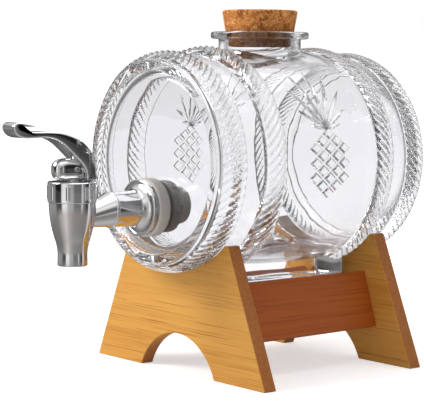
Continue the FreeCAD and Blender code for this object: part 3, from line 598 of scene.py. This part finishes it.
def leafPiece(material):
    # The crown: pointed leaves in a fan whose tips lie on a circle, each with a ridge, laid flat like the buds.
    shape = bmesh.new()
    high, root = relief["buds"]["Raise"], relief["buds"]["Root"]
    for number in range(relief["leaves"]):
        part = 2 * number / (relief["leaves"] - 1) - 1
        turn = radians(relief["leafFan"]) * part
        length = relief["leafLength"] * cos(turn)
        rows = 12
        rings = []
        for row in range(rows + 1):
            way = row / rows
            bend = turn + relief["leafCurl"] * part * (way - 0.4)
            width = relief["leafWidth"] * (0.12 + 0.88 * sin(pi * way ** 0.8) ** 0.8) * (1 - 0.25 * abs(part)) / 2
            middle = (sin(bend) * length * way, cos(bend) * length * way)
            side = (cos(bend), -sin(bend))
            rings.append([shape.verts.new((middle[0] + side[0] * width * share + relief["leafStart"][0],
                                           middle[1] + side[1] * width * share + relief["leafStart"][1], rise))
                          for share, rise in ((-1.15, -root), (-1, 0.25 * high), (0, high), (1, 0.25 * high),
                                              (1.15, -root))])
        for first, second in zip(rings, rings[1:]):
            for corner in range(5):
                following = (corner + 1) % 5
                shape.faces.new((first[corner], first[following], second[following], second[corner]))
        shape.faces.new(rings[0][::-1])
        shape.faces.new(rings[-1])
    return finishMesh("crownLeaves", shape, material, 0)


def wrapOnBelly(piece, rise, side):
    # Bends a flat layout round the belly; side is 1 for the right and -1 for the left.
    half = barrel["innerBand"][2]
    curve = (half * half + barrel["bellyRise"] ** 2) / (2 * barrel["bellyRise"])
    for vertex in piece.data.vertices:
        along, up, out = vertex.co
        y = along + (relief["middle"] - barrelMiddle)
        belly = barrel["bellyEdge"] + barrel["bellyRise"] - y * y / (2 * curve)
        angle = (rise + up) / belly
        radius = belly + out
        vertex.co = (side * radius * cos(angle), barrelMiddle + side * y, barrel["axis"] + radius * sin(angle))
    return piece


def buildRelief(body, material):
    tree, sockets, sizes = reliefTree(material)
    for side in (1, -1):
        fruit = runTree(emptyPiece("fruit"), tree, sockets, sizes)
        carve(body, wrapOnBelly(fruit, relief["fruitRise"], side), "UNION")
        carve(body, wrapOnBelly(leafPiece(material), 0, side), "UNION")


def buildBarrel(material):
    body = turnedPiece("glassBarrel", glassOutside(), material, barrelCentre, steps=barrel["steps"], sharp=0)
    markRope(body)
    tree, sockets, sizes = ropeTree(material)
    runTree(body, tree, sockets, sizes)
    print("rope bands", len(body.data.polygons))
    buildRelief(body, material)
    print("relief", len(body.data.polygons))

    top = barrelHigh.z - barrel["axis"]
    radius, flare, flange = barrel["neckRadius"], barrel["neckFlare"], barrel["flangeRadius"]
    edge = barrel["flangeRound"]
    belly = barrel["bellyEdge"] + barrel["bellyRise"]
    under = top - barrel["flangeThickness"]
    root = belly - barrel["rootDepth"]
    line = [(root, 0), (root, radius + flare)]
    line += arcLine((belly - barrel["flareDepth"] + flare, radius + flare), flare, 180, 270, 9)
    line += [(under, radius)]
    line += arcLine((under + edge, flange - edge), edge, 180, 90, 5)
    line += arcLine((top - edge, flange - edge), edge, 90, 0, 5)
    line += [(top, 0)]
    carve(body, turnedPiece("neck", line, material, barrelCentre, lying=False, steps=160), "UNION")

    foot = bmesh.new()
    bmesh.ops.create_cube(foot, size=1.0)
    low, high = barrelLow.z, barrel["axis"] - root
    bmesh.ops.scale(foot, vec=(barrel["footWidth"], 2 * barrel["footHalfLength"], high - low), verts=foot.verts)
    bmesh.ops.translate(foot, vec=(0, barrelMiddle, (low + high) / 2), verts=foot.verts)
    bmesh.ops.bevel(foot, geom=[e for e in foot.edges if abs(e.verts[0].co.z - e.verts[1].co.z) > 1e-4],
                    offset=barrel["footCorner"], segments=5, affect="EDGES", profile=0.5)
    rim = [e for e in foot.edges if e.verts[0].co.z < low + 1e-6 and e.verts[1].co.z < low + 1e-6]
    bmesh.ops.bevel(foot, geom=rim, offset=barrel["footEdge"], segments=3, affect="EDGES", profile=0.5)
    carve(body, finishMesh("foot", foot, material), "UNION")
    print("neck and foot", len(body.data.polygons))

    end, flat, corner, rise = barrel["hollow"]
    half = [(end, 0), (end, flat * 0.5), (end, flat)] + arcLine((end - corner, flat), corner, 0, 90, 8)[1:]
    last = half[-1]
    crown = bulgeLine((-last[0], last[1]), last, rise, 24)[::-1]
    hollow = half + crown[1:-1] + [(-along, spot) for along, spot in half[::-1]]
    carve(body, turnedPiece("hollow", hollow, material, barrelCentre, steps=192), "DIFFERENCE")
    depth, overrun, widening = barrel["mouthEdge"]
    bore = [(0, 0), (0, barrel["boreRadius"]), (corkLow.z - barrel["axis"], barrel["boreRadius"]),
            (top - depth, barrel["mouthRadius"]), (top + overrun, barrel["mouthRadius"] + widening),
            (top + overrun, 0)]
    carve(body, turnedPiece("bore", bore, material, barrelCentre, lying=False, steps=128), "DIFFERENCE")
    radius, start, end = barrel["tapHole"]
    hole = [(start, 0), (start, radius), (end, radius), (end, 0)]
    carve(body, turnedPiece("hole", hole, material, (0, barrelLow.y, tapHeight), steps=64), "DIFFERENCE")
    if body.data.attributes.get("rope"):
        body.data.attributes.remove(body.data.attributes["rope"])
    dress(body, material, 38)
    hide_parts("glass_barrel")
    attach(body, "barrel")
    print("glass barrel", len(body.data.polygons), "faces")


cork = {"footRadius": 0.01835, "bevel": 0.0012, "steps": 96}


def buildCork(material):
    low, high = corkLow.z, corkHigh.z
    topRadius = (corkHigh.x - corkLow.x) / 2
    footRadius, edge = cork["footRadius"], cork["bevel"]
    line = [(low, 0), (low, footRadius - edge)]
    line += arcLine((low + edge, footRadius - edge), edge, 180, 90, 4)
    line += arcLine((high - edge, topRadius - edge), edge, 90, 0, 4)
    line += [(high, topRadius * 0.5), (high, 0)]
    piece = turnedPiece("corkStopper", line, material, (0, barrelMiddle, 0), lying=False, steps=cork["steps"])
    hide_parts("cork_stopper")
    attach(piece, "cork")


tap = {
    "outlet": (-0.0286, 0.0081, 0.0008),  # height from the arm's axis, radius, rounding
    "waist": (-0.0230, 0.00795),
    "hip": (-0.0140, 0.0096),
    "shoulder": (0.0052, 0.01275),
    "waistDip": 0.0004,
    "hipSwell": 0.0007,
    "spigot": (0.0123, 0.0102),
    "outletBore": 0.0056,
    "armRoot": (0.0090, -0.00295, 0.00575),  # distance from the axis, height, radius
    "armEnd": (0.0227, 0.0, 0.0093),
    "shank": 0.0080,
    "shankEnd": (nutHigh.y - tapMiddle) - 0.001,
    "shankBore": 0.0034,
    "ring": (0.0227, 0.0245, 0.0094, 0.0005),
    "ringBore": 0.0081,
    "boreTop": -0.0145,
    "drinkStart": 0.012,
    "armSteps": 8,
    "armCorners": 96,
    "overrun": 0.001,
    "steps": 160,
}
tapCentre = (0, tapMiddle, tapHeight)


def buildTap(chrome):
    outlet, waist, hip, shoulder = tap["outlet"], tap["waist"], tap["hip"], tap["shoulder"]
    line = [(outlet[0], 0), (outlet[0], tap["outletBore"])]
    line += arcLine((outlet[0] + outlet[2], outlet[1] - outlet[2]), outlet[2], 180, 90, 5)
    line += bulgeLine(hip, waist, tap["waistDip"], 10)[::-1]
    line += bulgeLine(hip, shoulder, tap["hipSwell"], 16)[1:]
    line += [(shoulder[0], tap["spigot"][1]), tap["spigot"], (tap["spigot"][0], 0)]
    body = turnedPiece("tapBody", line, chrome, tapCentre, lying=False, steps=tap["steps"])

    arm = bmesh.new()
    rings = []
    corners, overrun = tap["armCorners"], tap["overrun"]
    for step in range(tap["armSteps"] + 1):
        part = step / tap["armSteps"]
        along, up, radius = [a + (b - a) * part for a, b in zip(tap["armRoot"], tap["armEnd"])]
        angles = [2 * pi * number / corners for number in range(corners)]
        rings.append([arm.verts.new((radius * sin(angle), tapMiddle + along, tapHeight + up + radius * cos(angle)))
                      for angle in angles])
    for first, second in zip(rings, rings[1:]):
        for number in range(corners):
            following = (number + 1) % corners
            arm.faces.new((first[number], first[following], second[following], second[number]))
    arm.faces.new(rings[0])
    arm.faces.new(rings[-1])
    carve(body, finishMesh("arm", arm, chrome), "UNION")
    start, end = tap["armEnd"][0] - overrun, tap["shankEnd"]
    shank = [(start, 0), (start, tap["shank"]), (end, tap["shank"]), (end, 0)]
    carve(body, turnedPiece("shank", shank, chrome, tapCentre, steps=96), "UNION")
    mouth = outlet[0] - overrun
    bore = [(mouth, 0), (mouth, tap["outletBore"]), (tap["boreTop"], tap["outletBore"]), (tap["boreTop"], 0)]
    carve(body, turnedPiece("outletBore", bore, chrome, tapCentre, lying=False, steps=96), "DIFFERENCE")
    start, end = tap["drinkStart"], end + overrun
    drink = [(start, 0), (start, tap["shankBore"]), (end, tap["shankBore"]), (end, 0)]
    carve(body, turnedPiece("drinkBore", drink, chrome, tapCentre, steps=64), "DIFFERENCE")
    dress(body, chrome, 25)
    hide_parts("tap_body")
    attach(body, "barrel")
    print("tap body", len(body.data.polygons), "faces")


collars = {
    # outer line of the sleeve: distance from the tap's axis and radius
    "sleeveCone": [(0.0245, 0.0090), (0.0248, 0.0093)],
    "sleeveSwell": ((0.0430, 0.0132), (0.0385, 0.0099), 0.0009),
    "sleeveStep": [(0.0430, 0.0132), (0.0439, 0.0133), (0.0439, 0.0143), (0.0430, 0.0144)],
    "discStart": 0.0430,
    "discEdges": (0.0006, 0.0004),
    "gasketBore": 0.0083,
    "gasketEdges": (0.0011, 0.0004),
    "nutBore": 0.0081,
    "nutNeck": (0.0106, 0.0075, 0.001),  # radius, start and rounding
    "nutFlange": (0.0040, 0.0006),  # thickness and rounding
    "notches": 8,
    "notch": (0.0017, 0.0044, 0.0002),  # radius, length and overrun
}


def collarPiece(name, line, material, node):
    piece = turnedPiece(name, line, material, tapCentre, steps=tap["steps"], closed=True)
    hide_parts(node)
    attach(piece, "barrel")


def buildCollars(chrome, silicone, plastic):
    start, end, edge, swell = tap["ring"]
    bore = tap["ringBore"]
    ring = [(end, bore), (start, bore)] + bulgeLine((start, edge), (end, edge), swell, 8)
    collarPiece("armRing", ring, chrome, "arm_ring")

    low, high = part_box("flange_sleeve")
    far, disc = high.y - tapMiddle, (high.x - low.x) / 2
    front, back = collars["discEdges"]
    sleeve = [(far, bore), (end, bore)] + collars["sleeveCone"]
    sleeve += bulgeLine(*collars["sleeveSwell"], 8)[::-1] + collars["sleeveStep"]
    sleeve += arcLine((collars["discStart"] + front, disc - front), front, 180, 90, 5)
    sleeve += arcLine((far - back, disc - back), back, 90, 0, 3)
    collarPiece("flangeSleeve", sleeve, chrome, "flange_sleeve")

    washers = (("outerGasket", "outer_gasket"), ("innerGasket", "inner_gasket"))
    for (name, node), edge in zip(washers, collars["gasketEdges"]):
        low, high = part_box(node)
        near, far, radius = low.y - tapMiddle, high.y - tapMiddle, (high.x - low.x) / 2
        washer = [(far, collars["gasketBore"]), (near, collars["gasketBore"])]
        washer += arcLine((near + edge, radius - edge), edge, 180, 90, 5)
        washer += arcLine((far - edge, radius - edge), edge, 90, 0, 5)
        collarPiece(name, washer, silicone, node)

    near, far = nutLow.y - tapMiddle, nutHigh.y - tapMiddle
    wide = (nutHigh.x - nutLow.x) / 2
    neck, neckStart, neckEdge = collars["nutNeck"]
    thickness, edge = collars["nutFlange"]
    nut = [(far, collars["nutBore"]), (near, collars["nutBore"]), (near, wide - edge)]
    nut += arcLine((near + edge, wide - edge), edge, 180, 90, 3)
    nut += arcLine((near + thickness - edge, wide - edge), edge, 90, 0, 3)
    nut += [(near + neckStart, neck)] + arcLine((far - neckEdge, neck - neckEdge), neckEdge, 90, 0, 4)
    piece = turnedPiece("lockNut", nut, plastic, tapCentre, steps=144, closed=True)
    size, length, overrun = collars["notch"]
    tree, sockets, sizes = gripTree("nutGrips", collars["notches"], wide, size, length, nutLow.y - overrun, plastic)
    notches = runTree(emptyPiece("notches"), tree, sockets, sizes)
    notches.data.transform(Matrix.Translation((0, 0, tapHeight)))
    carve(piece, notches, "DIFFERENCE")
    dress(piece, plastic)
    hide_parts("lock_nut")
    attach(piece, "barrel")


def gripTree(name, count, radius, size, length, start, material):
    # Rods in a circle about the Y axis, from start along Y.
    sizes = {"Count": count, "Circle": radius, "Radius": size, "Length": length, "Start": start, "Material": material}
    tree, entry, sockets = geometryTree(name, sizes)
    circle = addNode(tree, "GeometryNodeMeshCircle", {"Vertices": entry["Count"], "Radius": entry["Circle"]})
    rod = addNode(tree, "GeometryNodeMeshCylinder", {
        "Vertices": 24, "Radius": entry["Radius"], "Depth": entry["Length"]})
    points = outOf(tree, "GeometryNodeMeshToPoints", {"Mesh": circle.outputs[0]})
    placed = outOf(tree, "GeometryNodeInstanceOnPoints", {"Points": points, "Instance": rod.outputs[0]})
    lift = mathNode(tree, "ADD", entry["Start"], mathNode(tree, "MULTIPLY", entry["Length"], 0.5))
    move = outOf(tree, "ShaderNodeCombineXYZ", {1: lift})
    laid = outOf(tree, "GeometryNodeTransform", {
        "Geometry": placed, "Translation": move, "Rotation": (radians(90), 0, 0)})
    endTree(tree, laid, entry["Material"])
    return tree, sockets, sizes


bonnet = {"ribs": 8, "ribRadius": 0.0016, "ribProud": 0.0005, "ribStart": 0.0016, "ribHeight": 0.0070,
          "bevel": 0.0008, "footBevel": 0.0003, "bore": 0.0103, "hole": 0.0028, "top": 0.0032, "radius": 0.0133}


def buildBonnet(chrome):
    low, high = bonnetLow.z, bonnetHigh.z
    radius, edge, foot = bonnet["radius"], bonnet["bevel"], bonnet["footBevel"]
    under = high - bonnet["top"]
    line = [(low, bonnet["bore"]), (low, radius - foot), (low + foot, radius)]
    line += arcLine((high - edge, radius - edge), edge, 90, 0, 6)
    line += [(high, bonnet["hole"]), (under, bonnet["hole"]), (under, bonnet["bore"])]
    piece = turnedPiece("bonnetRing", line, chrome, (0, tapMiddle, 0), lying=False, steps=160, closed=True)
    circle = radius + bonnet["ribProud"] - bonnet["ribRadius"]
    tree, sockets, sizes = gripTree("bonnetRibs", bonnet["ribs"], circle, bonnet["ribRadius"],
                                    bonnet["ribHeight"], 0.0, chrome)
    ribs = runTree(emptyPiece("ribs"), tree, sockets, sizes)
    ribs.data.transform(Matrix.Rotation(radians(90), 4, "X"))
    ribs.data.transform(Matrix.Translation((0, tapMiddle, low + bonnet["ribStart"])))
    carve(piece, ribs, "UNION")
    dress(piece, chrome, 25)
    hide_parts("bonnet_ring")
    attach(piece, "barrel")


lever = {
    "width": 0.0120,
    "rounding": 0.0009,
    # side outlines from the pin, with True where the line runs on smoothly
    "strap": [
        (0.0056, -0.0061, False), (0.0110, -0.0061, False), (0.0112, -0.0010, True), (0.0108, 0.0045, True),
        (0.0084, 0.0092, True), (0.0045, 0.0133, True), (-0.0005, 0.0163, True), (-0.0062, 0.0184, True),
        (-0.0120, 0.0197, True), (-0.0190, 0.0202, True), (-0.0280, 0.0204, True), (-0.0340, 0.0213, True),
        (-0.0366, 0.0226, True), (-0.0355, 0.0232, True), (-0.0320, 0.0232, True), (-0.0268, 0.0227, False),
        (-0.0268, 0.0231, False), (-0.0325, 0.0246, True), (-0.0375, 0.0253, True), (-0.0397, 0.0240, True),
        (-0.0399, 0.0214, True), (-0.0377, 0.0186, True), (-0.0335, 0.0172, True), (-0.0270, 0.0171, True),
        (-0.0204, 0.0172, True), (-0.0148, 0.0162, True), (-0.0100, 0.0138, True), (-0.0056, 0.0103, True),
        (-0.0010, 0.0062, True), (0.0030, 0.0024, True), (0.0052, -0.0018, True),
    ],
    "nose": [
        (-0.0070, -0.0060, False), (0.0060, -0.0060, False), (0.0060, 0.0046, False), (-0.0020, 0.0058, True),
        (-0.0080, 0.0057, True), (-0.0118, 0.0036, True), (-0.0126, -0.0010, True), (-0.0112, -0.0046, True),
    ],
    "noseWidth": 0.0092,
    "noseRounding": 0.0042,
    "recess": (0.0030, 0.0120, 0.0052, 0.0021, 0.0005),  # oval: centre, half axes, depth
    "recessTurn": -38.0,
    "recessFloor": 0.82,
}


def buildLever(chrome):
    piece = outlinePiece("tapLever", lever["strap"], lever["width"], lever["rounding"], chrome, pinCentre)
    nose = outlinePiece("nose", lever["nose"], lever["noseWidth"], lever["noseRounding"], chrome, pinCentre)
    carve(piece, nose, "UNION")
    y, z, long, short, depth = lever["recess"]
    outside = lever["width"] / 3
    for side in (1, -1):
        line = [(-depth, 0), (-depth, lever["recessFloor"]), (0.0, 1.0), (outside, 1.0), (outside, 0)]
        oval = turnedPiece("oval", line, chrome, (0, 0, 0), lying=False, steps=64)
        oval.data.transform(Matrix.Diagonal((long, short, 1, 1)))
        oval.data.transform(Matrix.Rotation(radians(-lever["recessTurn"]), 4, "Z"))
        oval.data.transform(Matrix(((0, 0, side, 0), (1, 0, 0, 0), (0, -1, 0, 0), (0, 0, 0, 1))))
        oval.data.transform(Matrix.Translation(Vector(pinCentre) + Vector((side * lever["width"] / 2, y, z))))
        shape = bmesh.new()
        shape.from_mesh(oval.data)
        bmesh.ops.recalc_face_normals(shape, faces=shape.faces)
        shape.to_mesh(oval.data)
        shape.free()
        carve(piece, oval, "DIFFERENCE")
    dress(piece, chrome, 35)
    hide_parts("lever")
    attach(piece, "lever")
    print("lever", len(piece.data.polygons), "faces")


def paintNode(node, material):
    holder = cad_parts[node]
    if not holder.data.materials:
        holder.data.materials.append(material)
    for slot in holder.material_slots:
        slot.material = material


def cardGroup(turn):
    # What chrome and glass see in a direction; the world and the floor both use it.
    tree = bpy.data.node_groups.new("studioCards", "ShaderNodeTree")
    tree.interface.new_socket(name="Way", in_out="INPUT", socket_type="NodeSocketVector")
    for label in ("Chrome", "Glass"):
        tree.interface.new_socket(name=label, in_out="OUTPUT", socket_type="NodeSocketColor")
    way = tree.nodes.new("NodeGroupInput").outputs[0]

    def share(direction):
        return addNode(tree, "ShaderNodeVectorMath", {0: way, 1: direction}, operation="DOT_PRODUCT").outputs["Value"]

    forward = share((-sin(turn), cos(turn), 0))
    angle = mathNode(tree, "ARCTAN2", share((-cos(turn), -sin(turn), 0)), mathNode(tree, "MULTIPLY", forward, -1.0))
    roundPart = mathNode(tree, "MULTIPLY_ADD", angle, -1 / (2 * pi), 0.5)
    heightPart = mathNode(tree, "MULTIPLY_ADD", share((0, 0, 1)), 0.5, 0.5)
    below = mixNode(tree, 1.0, rampNode(tree, roundPart, studio["chromeBelow"]), studio["chromeWarm"], "MULTIPLY")
    level = mixNode(tree, rampNode(tree, heightPart, studio["chromeStep"]), below,
                    rampNode(tree, roundPart, studio["chromeAbove"]))
    chrome = mixNode(tree, rampNode(tree, heightPart, studio["chromeSteepShare"]), level,
                     rampNode(tree, heightPart, studio["chromeSteep"]))
    glass = rampNode(tree, mathNode(tree, "MULTIPLY_ADD", forward, 0.5, 0.5), studio["glassAway"])
    addNode(tree, "NodeGroupOutput", {"Chrome": chrome, "Glass": glass})
    return tree


def buildStudio():
    world = bpy.data.worlds.new("studioWorld")
    world.use_nodes = True
    bpy.context.scene.world = world
    tree = world.node_tree
    tree.nodes.clear()
    path = addNode(tree, "ShaderNodeLightPath").outputs
    turn, lift, roll = (radians(studio[key]) for key in ("azimuth", "elevation", "roll"))
    group = cardGroup(turn)
    way = addNode(tree, "ShaderNodeTexCoord").outputs["Generated"]
    cards, behind = addNode(tree, "ShaderNodeGroup", {"Way": way}, node_tree=group).outputs
    plain = outOf(tree, "ShaderNodeBackground", {"Color": (1, 1, 1, 1), "Strength": studio["ambient"]})
    shiny = outOf(tree, "ShaderNodeBackground", {"Color": cards, "Strength": 1.0})
    clear = outOf(tree, "ShaderNodeBackground", {"Color": behind, "Strength": 1.0})
    white = outOf(tree, "ShaderNodeBackground", {"Color": (1, 1, 1, 1), "Strength": 1.0})
    ends = outOf(tree, "ShaderNodeMixShader", {0: path["Is Glossy Ray"], 1: plain, 2: shiny})
    ends = outOf(tree, "ShaderNodeMixShader", {0: path["Is Transmission Ray"], 1: ends, 2: clear})
    ends = outOf(tree, "ShaderNodeMixShader", {0: path["Is Camera Ray"], 1: ends, 2: white})
    addNode(tree, "ShaderNodeOutputWorld", {0: ends})

    target = Vector((0, 0, 0.1))
    for name in ("key", "fill", "top"):
        lamp = bpy.data.lights.new(name + "Light", "AREA")
        lamp.size = studio[name + "Size"]
        lamp.energy = studio[name + "Power"]
        holder = newObject(name + "Light", lamp)
        holder.location = studio[name + "Place"]
        holder.rotation_euler = (target - holder.location).to_track_quat("-Z", "Y").to_euler()

    floorMaterial, tree, shader = newMaterial("paleFloor", {"Roughness": 0.9, "Emission Strength": 1.0})
    path = addNode(tree, "ShaderNodeLightPath").outputs
    shade = mixNode(tree, path["Is Glossy Ray"], studio["floorColour"], (0.0, 0.0, 0.0))
    tree.links.new(mixNode(tree, path["Is Transmission Ray"], shade, studio["floorInGlass"]),
                   shader.inputs["Base Color"])
    incoming = addNode(tree, "ShaderNodeNewGeometry").outputs["Incoming"]
    way = outOf(tree, "ShaderNodeVectorMath", {0: incoming, "Scale": -1.0}, operation="SCALE")
    cards, behind = addNode(tree, "ShaderNodeGroup", {"Way": way}, node_tree=group).outputs
    place = addNode(tree, "ShaderNodeTexCoord").outputs["Object"]
    distance = addNode(tree, "ShaderNodeVectorMath", {0: place}, operation="LENGTH").outputs["Value"]
    fade = outOf(tree, "ShaderNodeMapRange", {
        "Value": distance, "From Min": studio["floorFade"][0], "From Max": studio["floorFade"][1],
        "To Min": studio["floorGlow"], "To Max": 1.0})
    glow = mixNode(tree, path["Is Camera Ray"], (0.0, 0.0, 0.0), fade)
    glow = mixNode(tree, path["Is Glossy Ray"], glow, cards)
    tree.links.new(mixNode(tree, path["Is Transmission Ray"], glow, behind), shader.inputs["Emission Color"])
    floor = bmesh.new()
    bmesh.ops.create_grid(floor, x_segments=1, y_segments=1, size=studio["floorSize"] / 2)
    finishMesh("floor", floor, floorMaterial, 0)

    back = Vector((sin(turn) * cos(lift), -cos(turn) * cos(lift), sin(lift)))
    right = Vector((cos(turn), sin(turn), 0))
    up = back.cross(right)
    tiltedRight = right * cos(roll) + up * sin(roll)
    tiltedUp = up * cos(roll) - right * sin(roll)
    lens = bpy.data.cameras.new("photoCamera")
    lens.lens = studio["lens"]
    lens.sensor_width = 36.0
    lens.clip_start = 0.02
    camera = newObject("photoCamera", lens)
    turned = Matrix((tiltedRight, tiltedUp, back)).transposed().to_4x4()
    camera.matrix_world = Matrix.Translation(studio["place"]) @ turned
    bpy.context.scene.camera = camera
    bpy.context.scene.view_settings.view_transform = "Standard"
    cycles = bpy.context.scene.cycles
    cycles.max_bounces, cycles.glossy_bounces, cycles.transmission_bounces = 24, 16, 24


glass = clearGlass()
chrome = brightChrome()
steel = brightChrome("brushedSteel", (0.62, 0.62, 0.62), 0.25)
silicone = softGrey("greySilicone", (0.64, 0.61, 0.57), 0.42, 0.1)
plastic = softGrey("greyPlastic", (0.68, 0.65, 0.62), 0.40, 0.05)
rubber = softGrey("blackRubber", (0.03, 0.03, 0.03), 0.6)
boardWood = bamboo("boardBamboo", 0)
# The rails get a darker, redder copy of the board bamboo: painted shade for the shadow they lie in.
shadedRailWood = bamboo("railBambooShaded", 1, 0.62)

buildStudio()
buildBarrel(glass)
buildCork(granulatedCork())
buildTap(chrome)
buildCollars(chrome, silicone, plastic)
buildBonnet(chrome)
buildLever(chrome)
for node, material in (
    ("front_board", boardWood), ("rear_board", boardWood), ("right_rail", shadedRailWood), ("left_rail", shadedRailWood),
    ("stand_dowels", boardWood), ("valve_stem", steel), ("valve_plug", silicone), ("return_spring", steel),
    ("lever_pin", steel), ("stem_seal", rubber), ("bonnet_seal", rubber),
):
    paintNode(node, material)
print("materials on the carried-over pieces")
